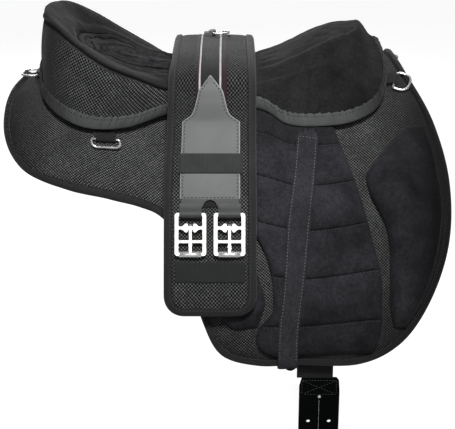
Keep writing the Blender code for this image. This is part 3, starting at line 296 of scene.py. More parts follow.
# %% Materials by name
# all painted shade: darker towards the saddle's ends, the lower edges, the girth's top and under the hem
SEAT_PAINTED_SHADE = (("X", -0.185, -0.228, 0.14),)
GIRTH_PAINTED_SHADE = (("Z", -0.100, 0.020, 0.55),)
TOP_PAINTED_SHADE = (("X", -0.050, 0.080, 0.62),)
SKIRT_PAINTED_SHADE = (("X", -0.205, -0.262, 0.18), ("X", 0.172, 0.238, 0.18), ("Z", -0.200, -0.285, 0.45))
HEM_PAINTED_SHADE = (("X", -0.180, -0.226, 0.12), ("X", 0.140, 0.186, 0.16))
PAD_PAINTED_SHADE = (("X", 0.205, 0.245, 0.25), ("Z", -0.205, -0.285, 0.50), ("Z", -0.060, -0.020, 0.60))
TAPE_PAINTED_SHADE = (("X", 0.170, 0.240, 0.15),)
SUEDE = suede("suede", (0.0220, 0.0212, 0.0248), (0.0560, 0.0540, 0.0630), PAD_PAINTED_SHADE)
SEAT_SUEDE = suede("seat_suede", (0.0200, 0.0197, 0.0207), (0.0530, 0.0520, 0.0555), TOP_PAINTED_SHADE)
STRAP_SUEDE = suede("strap_suede", (0.038, 0.037, 0.043), (0.058, 0.056, 0.064))
# dark suede of the welt, which also paints the shade under the seat's roll
WELT_SHADE_SUEDE = suede("welt_shade_suede", (0.010, 0.010, 0.011), (0.022, 0.022, 0.024))
# painted shadow for the bottom of the seat's rings and folds
FOLD_SHADOW_SUEDE = suede("fold_painted_shadow_suede", (0.0030, 0.0030, 0.0033), (0.0065, 0.0065, 0.0070))
SEAT_MESH = spacer_mesh("seat_mesh", 0.0042, (0.185, 0.195, 0.187), SEAT_PAINTED_SHADE)
GIRTH_MESH = spacer_mesh("girth_mesh", 0.0042, (0.180, 0.190, 0.182), GIRTH_PAINTED_SHADE)
SKIRT_MESH = spacer_mesh("skirt_mesh", 0.0036, (0.215, 0.224, 0.218), SKIRT_PAINTED_SHADE)
HEM_TAPE = woven("hem_tape", (0.084, 0.089, 0.086), 0.0016, 0.0012, 0.12, painted_shades=HEM_PAINTED_SHADE)
EDGE_TAPE = woven("edge_tape", (0.0200, 0.0195, 0.0205), 0.0016, 0.0012, 0.15, painted_shades=TAPE_PAINTED_SHADE)
WEBBING = woven("webbing", (0.013, 0.0125, 0.014), 0.0022, 0.0014)
ELASTIC = woven("elastic", (0.040, 0.041, 0.042), 0.0030, 0.0010, 0.2)
END_BAND = woven("end_band", (0.020, 0.0225, 0.0225), 0.0030, 0.0010, 0.2)
WHITE_STRIPE = (0.62, 0.60, 0.61)
MAROON = (0.020, 0.0065, 0.0115)
STRIPES = ((-0.0200, -0.0142, MAROON), (-0.0150, -0.0128, WHITE_STRIPE), (0.0108, 0.0130, WHITE_STRIPE),
           (0.0130, 0.0200, MAROON))
STRIPED = woven("striped_webbing", (0.012, 0.0125, 0.0125), 0.0020, 0.0012, 0.2, STRIPES)
GREY_LEATHER = leather("girth_leather", (0.100, 0.104, 0.102), 0.55, 0.3)
# darker leather of the loops, which also paints the shade where it curls round the buckle's bar
LOOP_SHADE_LEATHER = leather("buckle_loop_shade_leather", (0.046, 0.048, 0.047), 0.55, 0.3)
GREY_EDGE = leather("girth_leather_edge", (0.340, 0.345, 0.340), 0.55)
BLACK_LEATHER = leather("billet_leather", (0.0025, 0.0030, 0.0032), 0.55, 0.03)
STEEL = plated_steel()
FOAM_CLOTH = woven("foam_cloth", (0.020, 0.020, 0.021), 0.0020, 0.0020)
STIFFENER = leather("stiffener", (0.020, 0.020, 0.020), 0.5)
PALE_THREAD = woven("pale_thread", (0.290, 0.290, 0.295), 0.0006, 0.0006)
GREY_THREAD = woven("grey_thread", (0.090, 0.092, 0.092), 0.0006, 0.0006)
DARK_THREAD = woven("dark_thread", (0.010, 0.010, 0.011), 0.0006, 0.0006)
BLACK_THREAD = woven("black_thread", (0.006, 0.006, 0.006), 0.0006, 0.0006)
print("materials", len(bpy.data.materials))

# %% [markdown]
# ## From points to pieces
# Most pieces here are cloth sewn on a curved skin, so they are grids of points: a solid between a lower and
# an upper grid, or a section swept along an edge. The helpers also keep each point's place on the flat cloth.


# %% Builders
def build(name, points, faces, material, flat, slot, nodes=(), body="saddle", weld=0.00002, paint=()):
    """One piece: its mesh, its flat cloth coordinates, and the moving body and CAD nodes it belongs to."""
    work = bmesh.new()
    sheet = work.loops.layers.uv.new("cloth")
    made = [work.verts.new(p) for p in points]
    for n, face in enumerate(faces):
        if len({tuple(points[i]) for i in face}) > 2:
            new = work.faces.new([made[i] for i in face])
            new.material_index = paint[n] if paint else 0
            for corner, i in zip(new.loops, face):
                corner[sheet].uv = flat[i]
    bmesh.ops.remove_doubles(work, verts=work.verts, dist=weld)
    bmesh.ops.dissolve_degenerate(work, edges=work.edges, dist=weld / 2)
    bmesh.ops.recalc_face_normals(work, faces=work.faces)
    mesh = bpy.data.meshes.new(name)
    work.to_mesh(mesh)
    work.free()
    for each in material if isinstance(material, tuple) else (material,):
        mesh.materials.append(each)
    mesh.shade_smooth()
    obj = bpy.data.objects.new(name, mesh)
    bpy.context.scene.collection.objects.link(obj)
    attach(obj, body)
    if nodes:
        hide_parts(*nodes)
    return obj


def between(name, grid, material, slot, nodes=(), body="saddle"):
    """A closed solid from a grid whose every spot is (lower point, upper point, flat place)."""
    rows, columns = len(grid), len(grid[0])
    lower, upper, flat = zip(*(spot for row in grid for spot in row))
    points, places = lower + upper, flat * 2
    top = rows * columns
    faces = []
    for i in range(rows - 1):
        for j in range(columns - 1):
            a = i * columns + j
            quad = (a, a + 1, a + columns + 1, a + columns)
            faces.append(quad)
            faces.append(tuple(top + k for k in reversed(quad)))
    rim = list(range(columns)) + [i * columns + columns - 1 for i in range(1, rows)]
    rim += [(rows - 1) * columns + j for j in range(columns - 2, -1, -1)]
    rim += [i * columns for i in range(rows - 2, 0, -1)]
    for a, b in zip(rim, rim[1:] + rim[:1]):
        faces.append((b, a, top + a, top + b))
    return build(name, points, faces, material, places, slot, nodes, body)


def running(path):
    """How far along the path each of its points lies."""
    reach = [0.0]
    for a, b in zip(path, path[1:]):
        reach.append(reach[-1] + math.dist(a, b))
    return reach


def swept(name, sections, closed, runs, material, slot, nodes=(), body="saddle"):
    """A section swept through matching rings of points. runs says how far along each ring lies."""
    size = len(sections[0])
    points = [p for section in sections for p in section]
    girths = running(sections[len(sections) // 2])
    places = [(g, run) for run in runs for g in girths]
    count = len(sections)
    faces = []
    for i in range(count if closed else count - 1):
        a, b = i * size, ((i + 1) % count) * size
        for j in range(size):
            k = (j + 1) % size
            faces.append((a + j, a + k, b + k, b + j))
    if not closed:
        faces.append(tuple(range(size)))
        faces.append(tuple((count - 1) * size + j for j in reversed(range(size))))
    return build(name, points, faces, material, places, slot, nodes, body)


def plate(name, loops, start, along, up, thick, bevel, material, slot, nodes=(), body="saddle"):
    """A flat outline with holes, drawn along two directions, filled to both sides and rounded off."""
    through = along.cross(up)
    outline = [[Vector((u, v, 0)) for u, v in loop] for loop in loops]
    corners = [p for loop in outline for p in loop]
    points = [start + along * p.x + up * p.y + through * depth
              for depth in (-thick / 2, thick / 2) for p in corners]
    total = len(corners)
    faces = []
    for triangle in tessellate_polygon(outline):
        faces.append(tuple(triangle))
        faces.append(tuple(total + k for k in reversed(triangle)))
    first = 0
    for loop in outline:
        for k in range(len(loop)):
            a, b = first + k, first + (k + 1) % len(loop)
            faces.append((a, b, total + b, total + a))
        first += len(loop)
    flat = [(p.x, p.y) for p in corners] * 2
    obj = build(name, points, faces, material, flat, slot, nodes, body)
    obj.data.set_sharp_from_angle(angle=math.radians(30))
    if bevel:
        rounding = obj.modifiers.new("rounded edges", "BEVEL")
        rounding.width = bevel
        rounding.segments = 3
        rounding.limit_method = "ANGLE"
        rounding.angle_limit = math.radians(40)
        obj.data.shade_smooth()
    return obj


def circle(radius, count, center=(0.0, 0.0), start=0.0, sweep=2 * math.pi):
    """Points round a circle, or along an arc with both ends."""
    full = abs(sweep) >= 2 * math.pi - 1e-6
    steps = count if full else count - 1
    return [(center[0] + radius * math.cos(start + sweep * k / steps),
             center[1] + radius * math.sin(start + sweep * k / steps)) for k in range(count)]


def along_path(path, k):
    """The way from the point before k to the point after it."""
    before, after = path[max(k - 1, 0)], path[min(k + 1, len(path) - 1)]
    return after[0] - before[0], after[1] - before[1]


def spread(start, end, count):
    return [start + (end - start) * k / count for k in range(count + 1)]


def partway(a, b, share):
    return a + (b - a) * share


def smooth_step(t):
    t = min(max(t, 0.0), 1.0)
    return t * t * (3 - 2 * t)


def swell(share, power):
    """From 0 at both ends of a piece to 1 in its middle, flatter and fuller with a higher power."""
    return 1 - abs(2 * min(max(share, 0.0), 1.0) - 1) ** power


def curve_through(points):
    """A smooth function through (value, result) pairs that never overshoots between them."""
    xs = [p[0] for p in points]
    ys = [p[1] for p in points]
    steps = [b - a for a, b in zip(xs, xs[1:])]
    slopes = [(b - a) / h for a, b, h in zip(ys, ys[1:], steps)]
    tangents = [slopes[0]]
    for before, after in zip(slopes, slopes[1:]):
        same_way = before * after > 0
        tangents.append(2 * before * after / (before + after) if same_way else 0.0)
    tangents.append(slopes[-1])

    def at(x):
        x = min(max(x, xs[0]), xs[-1])
        i = max(k for k in range(len(steps)) if xs[k] <= x or k == 0)
        t = (x - xs[i]) / steps[i]
        start = ys[i] * (1 + 2 * t) * (1 - t) ** 2 + tangents[i] * steps[i] * t * (1 - t) ** 2
        end = ys[i + 1] * t * t * (3 - 2 * t) + tangents[i + 1] * steps[i] * t * t * (t - 1)
        return start + end

    return at


def band(rear, front):
    """Where a band between two edges lies: a function of v and of the share of its width, from the rear."""
    rear_x, front_x = curve_through(rear), curve_through(front)
    return lambda v, share: partway(rear_x(v), front_x(v), share)


def spline(rows, t):
    """The Catmull-Rom curve through rows of numbers, t running from 0 to 1."""
    last = len(rows) - 1
    place = min(max(t, 0.0), 1.0) * last
    i = min(int(place), last - 1)
    f = place - i
    a, b, c, d = (rows[min(max(k, 0), last)] for k in (i - 1, i, i + 1, i + 2))
    return [0.5 * (2 * q + (r - p) * f + (2 * p - 5 * q + 4 * r - s) * f * f + (3 * q - p - 3 * r + s) * f ** 3)
            for p, q, r, s in zip(a, b, c, d)]


def even_points(rows, count):
    """count + 1 points at even steps along the spline through rows."""
    dense = [spline(rows, k / 1200) for k in range(1201)]
    lengths = running(dense)
    points = []
    k = 0
    for n in range(count + 1):
        goal = lengths[-1] * n / count
        while k < 1199 and lengths[k + 1] < goal:
            k += 1
        f = (goal - lengths[k]) / (lengths[k + 1] - lengths[k])
        points.append([partway(p, q, min(max(f, 0.0), 1.0)) for p, q in zip(dense[k], dense[k + 1])])
    return points


def ripple(run, pitch, seed=0.0):
    """Uneven puckers along a seam, from -1 to 1."""
    wander = noise.noise(Vector((run / pitch * 0.37, seed, 0.3)))
    return math.sin(2 * math.pi * (run / pitch + 0.55 * wander)) * (0.7 + 0.6 * abs(wander))


def soft(point, size, seed=0.0):
    """Smooth unevenness of about this size, from -1 to 1."""
    return noise.noise(Vector(point) / size + Vector((seed, seed * 1.7, seed * 0.6)))


# %% [markdown]
# ## Stitches
# A stitch is a short thread that dips into the cloth at both ends. Each row is one mesh of small spindles,
# laid along a path of points with the cloth's outward direction at each.


# %% Stitch rows
# a stitch's length, the gap after it, and the radius of its thread
SKIRT_STITCH = (0.0030, 0.0013, 0.00042)
QUILT_STITCH = (0.0022, 0.0020, 0.00036)
STRAP_STITCH = (0.0022, 0.0018, 0.00036)
HEM_STITCH = (0.0026, 0.0016, 0.00035)
GIRTH_EDGE_STITCH = (0.0026, 0.0016, 0.00030)
LEATHER_STITCH = (0.0026, 0.0018, 0.00040)
TAB_STITCH = (0.0020, 0.0012, 0.00030)
BILLET_STITCH = (0.0022, 0.0014, 0.00032)


def stitches(name, paths, material, slot, stitch, body="saddle"):
    """Rows of stitches. Each path is a list of (point, outward) pairs in order."""
    length, gap, thread = stitch
    points, faces, flat = [], [], []
    for path in paths:
        reach = running([point for point, _ in path])
        k = 0
        place = gap / 2
        while place + length < reach[-1]:
            while reach[k + 1] < place + length / 2:
                k += 1
            share = (place + length / 2 - reach[k]) / (reach[k + 1] - reach[k])
            middle = path[k][0].lerp(path[k + 1][0], share)
            out = path[k][1].lerp(path[k + 1][1], share).normalized()
            run = (path[k + 1][0] - path[k][0]).normalized()
            across = run.cross(out).normalized()
            first = len(points)
            for u, size, lift in ((-0.5, 0.35, -0.6), (-0.3, 0.95, 0.25), (0.3, 0.95, 0.25), (0.5, 0.35, -0.6)):
                center = middle + run * (u * length) + out * (lift * thread)
                for p, q in circle(thread * size, 5):
                    points.append(center + across * p * 1.25 + out * q)
                    flat.append((p, u * length))
            for ring in range(3):
                for j in range(5):
                    a, b = first + ring * 5 + j, first + ring * 5 + (j + 1) % 5
                    faces.append((a, b, b + 5, a + 5))
            faces.append(tuple(first + j for j in reversed(range(5))))
            faces.append(tuple(first + 15 + j for j in range(5)))
            place += length + gap
    return build(name, points, faces, material, flat, slot, body=body, weld=0.000001)


# %% [markdown]
# ## The skin that everything is sewn to
# The skirts and flaps are one curved skin, whose section across the saddle is a chain of arcs: flat over the
# spine, steep at the flap. Every cloth piece is placed by x and by v, its distance from the ridge along it.

# %% The skin
SKIRT_THICK = 0.014
SKIRT_EDGE_THICK = 0.008
RIDGE_RISE = 0.033
RIDGE_RISE_START = -0.06
RIDGE_RISE_LENGTH = 0.27
RIDGE_HALF_GAP = 0.0003      # the two skirts are sewn together along the ridge
LAYER = 0.0007
TOUCH = 0.0003
SKIN_KNOTS = (0.0, 0.03, 0.13, 0.25, 0.45)
REAR_SLOPES = tuple(math.radians(a) for a in (4, 9, 28, 49, 84))
FRONT_SLOPES = tuple(math.radians(a) for a in (4, 27, 52, 66, 79))
SLOPE_CHANGE_START = -0.20
SLOPE_CHANGE_LENGTH = 0.17
SKIRT_OUTLINE = (
    (-0.262, RIDGE_HALF_GAP), (-0.271, 0.050), (-0.272, 0.097), (-0.266, 0.142), (-0.250, 0.178),
    (-0.226, 0.201), (-0.182, 0.218), (-0.138, 0.215), (-0.106, 0.212), (-0.080, 0.217), (-0.057, 0.243),
    (-0.044, 0.290), (-0.030, 0.340), (-0.008, 0.381), (0.035, 0.400), (0.083, 0.407), (0.156, 0.417),
    (0.206, 0.396), (0.242, 0.345), (0.265, 0.275), (0.267, 0.199), (0.251, 0.124), (0.221, 0.046),
    (0.206, RIDGE_HALF_GAP))


def ridge(x):
    """Height of the skirts' outer face over the spine."""
    return SKIRT_THICK + RIDGE_RISE * smooth_step((x - RIDGE_RISE_START) / RIDGE_RISE_LENGTH)


def skin(x, v, lift=0.0, side=1):
    """A point on the skin, v along it from the ridge, raised by lift square to it."""
    turn = smooth_step((x - SLOPE_CHANGE_START) / SLOPE_CHANGE_LENGTH)
    slopes = [partway(r, f, turn) for r, f in zip(REAR_SLOPES, FRONT_SLOPES)]
    y = 0.0
    z = ridge(x)
    slope = slopes[0]
    for k in range(len(SKIN_KNOTS) - 1):
        start, end = SKIN_KNOTS[k], SKIN_KNOTS[k + 1]
        if v <= start:
            break
        stop = v if k == len(SKIN_KNOTS) - 2 else min(v, end)
        bend = (slopes[k + 1] - slopes[k]) / (end - start)
        slope = slopes[k] + bend * (stop - start)
        y += (math.sin(slope) - math.sin(slopes[k])) / bend
        z += (math.cos(slope) - math.cos(slopes[k])) / bend
    if v <= 0:
        return Vector((x, 0.0, z + lift))
    return Vector((x, side * (y + lift * math.sin(slope)), z + lift * math.cos(slope)))


def over_skin(x, v, low, high, side):
    """A spot for a grid over the skin, from one lift to another."""
    return skin(x, v, low, side), skin(x, v, high, side), (x, v)


def outward_skin(x, v, side):
    return (skin(x, v, 0.01, side) - skin(x, v, 0.0, side)).normalized()


def on_skin(line, lift, side):
    """A path for stitches from (x, v) places on the skin."""
    return [(skin(x, v, lift, side), outward_skin(x, v, side)) for x, v in line]


# %% [markdown]
# ## Skirts and flaps
# Each side is one padded panel of spacer mesh, bound round its edge with a folded tape. The padding makes the
# face a little uneven, and the tape draws it in at the edge. The tape itself puckers where it turns.

# %% Skirts and their bindings
BINDING_WIDTHS = (0.0115, 0.0075)
REAR_TURN_WIDTH = 0.0075    # the binding turns under at the rearmost edge, so less of it shows
EDGE_DIP = 0.0042           # the padding sinks by this much into the binding
EDGE_DIP_REACH = 0.008
BINDING_PROUD = 0.0015
SKIRT_UNEVEN = 0.0009
SKIRT_SINK = 0.0004         # keeps the padding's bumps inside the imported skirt
TAPE_PUFF = 0.0007
TAPE_PUCKERS = ((0.0075, 0.0), (0.0043, 5.0))   # pitch and seed of the wide and of the narrow puckers
SKIRT_STEPS = 260
SKIRT_ROWS = 54


def flap_share(x):
    """From 0 at the rear skirt to 1 along the flap."""
    return smooth_step((x + 0.09) / 0.10)


def binding_width(x):
    rear, front = BINDING_WIDTHS
    turned_under = smooth_step((-0.175 - x) / 0.05)
    return partway(rear, front, flap_share(x)) + (REAR_TURN_WIDTH - rear) * turned_under


def inset(outline, share):
    """The outline moved inwards by a share of the binding's width, square to itself."""
    moved = []
    for k, (x, v) in enumerate(outline):
        dx, dv = along_path(outline, k)
        distance = binding_width(x) * share / math.hypot(dx, dv)
        moved.append((x + distance * dv, max(v - distance * dx, RIDGE_HALF_GAP)))
    return moved


def make_skirt(word, side):
    outline = even_points(SKIRT_OUTLINE, SKIRT_STEPS)
    inner = inset(outline, 0.9)
    reach = [0.0]
    for a, b in zip(outline, outline[1:]):
        reach.append(reach[-1] + abs(b[0] - a[0]) + 0.25 * abs(b[1] - a[1]))
    grid = []
    for (x, v), run in zip(inner, reach):
        foot = partway(inner[0][0], inner[-1][0], run / reach[-1])
        grid.append([])
        for row in range(SKIRT_ROWS + 1):
            share = 1 - (1 - row / SKIRT_ROWS) ** 1.6
            px, pv = partway(foot, x, share), partway(RIDGE_HALF_GAP, v, share)
            thick = partway(SKIRT_THICK, SKIRT_EDGE_THICK, share ** 6)
            uneven = SKIRT_UNEVEN * soft((px, pv, side), 0.045, 3.0) * (1 - share ** 8)
            dip = EDGE_DIP * math.exp(-(1 - share) * v / EDGE_DIP_REACH)
            grid[-1].append(over_skin(px, pv, -thick, uneven - SKIRT_SINK - dip, side))
    skirt = between(f"skirt_mesh_{word}", grid, SKIRT_MESH, "skirt_mesh", [f"skirt_{word}"])


def make_skirt_binding(word, side):
    outline = even_points(SKIRT_OUTLINE, SKIRT_STEPS * 3)
    bottom = -SKIRT_EDGE_THICK - BINDING_PROUD
    top = BINDING_PROUD
    profile = ((1.0, bottom + 0.0004), (0.7, bottom), (0.25, bottom * 0.92), (0.03, bottom * 0.55),
               (0.03, bottom * 0.2), (0.20, top * 0.55), (0.45, top), (0.70, top * 0.9), (0.90, top * 0.3),
               (1.0, -EDGE_DIP * 0.8))
    lines = [inset(outline, share) for share, _ in profile]
    reach = running(outline)
    sections = []
    for k, run in enumerate(reach):
        wide, narrow = (ripple(run, pitch, side + seed) for pitch, seed in TAPE_PUCKERS)
        wave = (1 - 0.75 * flap_share(outline[k][0])) * (wide + 0.8 * narrow)
        sections.append([])
        for (share, lift), line in zip(profile, lines):
            puff = wave * TAPE_PUFF * math.sin(math.pi * share ** 2) if lift > 0 else 0.0
            sections[-1].append(skin(*line[k], lift + puff, side))
    swept(f"skirt_edge_{word}", sections, False, reach, EDGE_TAPE, "skirt_edge", [f"skirt_binding_{word}"])
    stitch_line = inset(outline, 0.80)[4:-4]
    stitches(f"skirt_edge_stitches_{word}", [on_skin(stitch_line, top * 0.9, side)], DARK_THREAD, "skirt_edge",
             SKIRT_STITCH)


for word, side in SIDES.items():
    make_skirt(word, side)
    make_skirt_binding(word, side)
print("skirts done")

# %% [markdown]
# ## The quilted flap, the rolls and the strap
# The suede pad on the flap is sewn across into channels: between two seams the filling stands up round, and
# beside a seam the cloth draws into small puckers. The rolls are single stuffed tubes of suede.

# %% Quilted flaps
QUILT_THICK = 0.0075
QUILT_PUFF = 0.0092         # the filling stands a little higher than the strap's bed
QUILT_EDGE_THICK = 0.0022
QUILT_TOP = 0.085
QUILT_BOTTOM = 0.391
QUILT_REAR = ((0.085, -0.030), (0.160, -0.028), (0.220, -0.003), (0.264, 0.035), (0.285, 0.047),
              (0.313, 0.054), (0.338, 0.055), (0.357, 0.042), (0.367, 0.034), (0.380, 0.037), (0.391, 0.055))
QUILT_FRONT = ((0.085, 0.125), (0.128, 0.136), (0.184, 0.152), (0.258, 0.171), (0.327, 0.185),
               (0.360, 0.185), (0.381, 0.181), (0.391, 0.172))
QUILT_SEAMS = (0.130, 0.188, 0.245, 0.303, 0.358)
QUILT_STITCH_DROP = 0.0014  # the stitches show just below each seam's fold
QUILT_BEND_X = 0.085
QUILT_BEND_SLOPE = 0.5
QUILT_SMILE = 0.0034        # in front of the strap each seam hangs this much below a straight line
QUILT_TAIL = 0.10
QUILT_PUCKER = 0.00075      # puckers beside the seams, soft unevenness and small creases of the suede
QUILT_SOFT = 0.0007
QUILT_CREASE = 0.0004
QUILT_COLUMNS = 84
QUILT_ROWS = 200


def quilt_face(v, over, x):
    """Height of the quilted pad over its underside."""
    down = (v - QUILT_TOP) / (QUILT_BOTTOM - QUILT_TOP)
    edges = (QUILT_TOP - 0.03,) + QUILT_SEAMS + (QUILT_BOTTOM + 0.012,)
    k = max(i for i in range(len(edges) - 1) if edges[i] <= v or i == 0)
    share = (v - edges[k]) / (edges[k + 1] - edges[k])
    channel = swell(share, 4) ** 0.5
    near = min(v - edges[k], edges[k + 1] - v)
    puckers = QUILT_PUCKER * ripple(x, 0.0075, k) * math.exp(-near / 0.007)
    puckers += QUILT_SOFT * soft((x, v, over), 0.016, 6.0) + QUILT_CREASE * soft((x, v, over), 0.006, 7.0)
    rim = swell(over, 16) ** 0.5 * swell(down, 30) ** 0.5
    return partway(QUILT_EDGE_THICK, QUILT_PUFF, (0.05 + 0.95 * channel) * rim) + puckers * rim


def hem_reach():
    """How far down the skin the seat's hem lies at each x, along its sides."""
    dense = [spline(SEAT_STATIONS, k / 200) for k in range(201)]
    side_part = [(row[0], row[1]) for row in dense if row[1] > 0.06]
    rising = [side_part[0]]
    for pair in side_part[1:]:
        if pair[0] > rising[-1][0] + 0.002:
            rising.append(pair)
    return curve_through(rising)


def quilt_place(x, v, hem):
    """Where the pad's row v passes at x: the seams sag behind the strap, and the top tucks under the seat."""
    share = (v - QUILT_TOP) / (QUILT_BOTTOM - QUILT_TOP)
    sag = QUILT_BEND_SLOPE * max(QUILT_BEND_X - x, 0.0) * math.sin(math.pi * share)
    sag -= QUILT_SMILE * math.sin(math.pi * min(max((x - QUILT_BEND_X) / 0.085, 0.0), 1.0)) * (1 - share ** 6)
    tuck = (hem(x) - 0.012 - QUILT_TOP) * (1 - share) ** 4
    tail = QUILT_TAIL * (x - QUILT_REAR[-1][1]) * share ** 8
    return v - sag * 0.75 + tuck + tail


# from the rear to the front: the hem's x, v and lift, the seam's x, y and height, the middle's x, then how far
# the roll rises and how high the first ring lies
SEAT_STATIONS = (
    (-0.2315, 0.000, 0.0095, -0.2300, 0.000, 0.080, -0.132, 0.0175, 0.055),
    (-0.2290, 0.042, 0.0095, -0.2245, 0.036, 0.082, -0.131, 0.0140, 0.052),
    (-0.2200, 0.087, 0.0095, -0.2080, 0.077, 0.080, -0.129, 0.0075, 0.046),
    (-0.1965, 0.120, 0.0095, -0.1780, 0.103, 0.061, -0.126, 0.006, 0.041),
    (-0.1660, 0.133, 0.0095, -0.1450, 0.110, 0.039, -0.120, 0.004, 0.031),
    (-0.1250, 0.119, 0.0095, -0.1100, 0.099, 0.021, -0.103, 0.003, 0.0175),
    (-0.0780, 0.088, 0.0095, -0.0720, 0.086, 0.004, -0.070, 0.002, 0.0135),
    (-0.0200, 0.068, 0.0095, -0.0200, 0.074, 0.000, -0.020, 0.001, 0.010),
    (0.0420, 0.087, 0.0095, 0.0390, 0.074, -0.002, 0.037, 0.001, 0.0105),
    (0.0750, 0.1135, 0.0095, 0.0730, 0.080, 0.002, 0.070, 0.001, 0.016),
    (0.1160, 0.123, 0.0095, 0.1120, 0.080, 0.008, 0.096, 0.003, 0.026),
    (0.1530, 0.122, 0.0095, 0.1450, 0.072, 0.010, 0.110, 0.004, 0.032),
    (0.1815, 0.104, 0.0095, 0.1700, 0.057, 0.008, 0.120, 0.004, 0.034),
    (0.1925, 0.058, 0.0105, 0.1810, 0.034, 0.009, 0.127, 0.004, 0.037),
    (0.1860, 0.000, 0.0110, 0.1810, 0.000, 0.021, 0.130, 0.004, 0.0405))


def make_quilted_flap(word, side, hem):
    x_at = band(QUILT_REAR, QUILT_FRONT)
    low = LAYER + TOUCH
    values = set(spread(QUILT_TOP, QUILT_BOTTOM, QUILT_ROWS + 1))
    for seam in QUILT_SEAMS:
        values.update(seam + step for step in (-0.0011, -0.0007, -0.0003, 0.0, 0.0003, 0.0007, 0.0011))
    grid = []
    for v in sorted(values):
        grid.append([])
        for over in spread(0.0, 1.0, QUILT_COLUMNS):
            x = x_at(v, over)
            pv = quilt_place(x, v, hem)
            grid[-1].append(over_skin(x, pv, low, low + quilt_face(v, over, x), side))
    pad = between(f"quilt_{word}", grid, SUEDE, "suede", [f"quilted_flap_{word}"])
    rows = []
    for seam in QUILT_SEAMS:
        v = seam + QUILT_STITCH_DROP
        rows.append([])
        for over in spread(0.02, 0.98, 160):
            x = x_at(v, over)
            pv = quilt_place(x, v, hem)
            rows[-1] += on_skin([(x, pv)], low + quilt_face(v, over, x), side)
    stitches(f"quilt_stitches_{word}", rows, GREY_THREAD, "suede", QUILT_STITCH)


hem_line = hem_reach()
for word, side in SIDES.items():
    make_quilted_flap(word, side, hem_line)
print("quilted flaps done")

# %% Knee and thigh rolls
KNEE_THICK = 0.022
KNEE_REAR = ((0.131, 0.221), (0.147, 0.199), (0.168, 0.181), (0.190, 0.166), (0.212, 0.170), (0.234, 0.180),
             (0.257, 0.190), (0.290, 0.194), (0.344, 0.194), (0.374, 0.199))
KNEE_FRONT = ((0.131, 0.237), (0.152, 0.245), (0.190, 0.2525), (0.230, 0.2565), (0.270, 0.2530),
              (0.311, 0.2440), (0.344, 0.2310), (0.374, 0.2130))
THIGH_THICK = 0.013
THIGH_REAR = ((0.262, -0.006), (0.290, -0.016), (0.325, -0.014), (0.352, 0.008))
THIGH_FRONT = ((0.262, 0.018), (0.290, 0.036), (0.325, 0.045), (0.352, 0.036))
ROLL_EDGE = 0.0016
ROLL_CREST = 0.75           # below 1, a roll's crest lies nearer its rear edge
ROLL_PUCKER = 0.0006
ROLL_CREASE = 0.0009
ROLL_ROWS = 120
ROLL_COLUMNS = 44


def make_roll(name, side, rear, front, thick, node):
    """A stuffed roll between two edges: round across, drawn in at its ends, with a few soft creases."""
    x_at = band(rear, front)
    grid = []
    for down in spread(0.0, 1.0, ROLL_ROWS):
        v = partway(rear[0][0], rear[-1][0], down)
        grid.append([])
        for j in range(ROLL_COLUMNS + 1):
            over = 0.5 - 0.5 * math.cos(math.pi * j / ROLL_COLUMNS)
            x = x_at(v, over)
            round_face = swell(over ** ROLL_CREST, 2.2) ** 0.6 * swell(down, 4) ** 0.6
            edge = max(1 - 4 * over * (1 - over), 0.0) ** 3
            creases = ROLL_PUCKER * ripple(v, 0.011, side) * edge + ROLL_CREASE * soft((x, v, side), 0.02, 5.0)
            lift = partway(ROLL_EDGE, thick, round_face) + creases * min(round_face * 3, 1.0)
            grid[-1].append(over_skin(x, v, LAYER, LAYER + lift, side))
    between(name, grid, SUEDE, "suede", [node])


for word, side in SIDES.items():
    make_roll(f"knee_block_{word}", side, KNEE_REAR, KNEE_FRONT, KNEE_THICK, f"knee_roll_{word}")
    make_roll(f"thigh_block_{word}", side, THIGH_REAR, THIGH_FRONT, THIGH_THICK, f"thigh_roll_{word}")
print("rolls done")

# %% [markdown]
# ## The strap down the flap
# A strip of the lighter suede runs from under the seat to the flap's lower edge, where it turns under. It is
# sewn down along both edges, which pulls it a little flat there and leaves its middle slightly proud.

# %% Flap straps
STRAP_THICK = 0.0020
STRAP_TOP = 0.131
STRAP_EDGE = 0.4055
STRAP_SKEW = 0.0028         # its cut end slopes by this much, so that it lies level
STRAP_TUCK = 0.0120         # how far the strap runs on above its top seam, into the hem's shadow
STRAP_REAR = ((0.131, 0.0835), (0.176, 0.079), (0.234, 0.071), (0.313, 0.066), (0.375, 0.060), (0.450, 0.060))
STRAP_FRONT = ((0.131, 0.1095), (0.153, 0.108), (0.239, 0.099), (0.308, 0.092), (0.371, 0.085), (0.450, 0.083))
STRAP_SEAMS = (0.10, 0.90)  # shares of the strap's width
STRAP_LIFT = LAYER + QUILT_THICK + LAYER + TOUCH


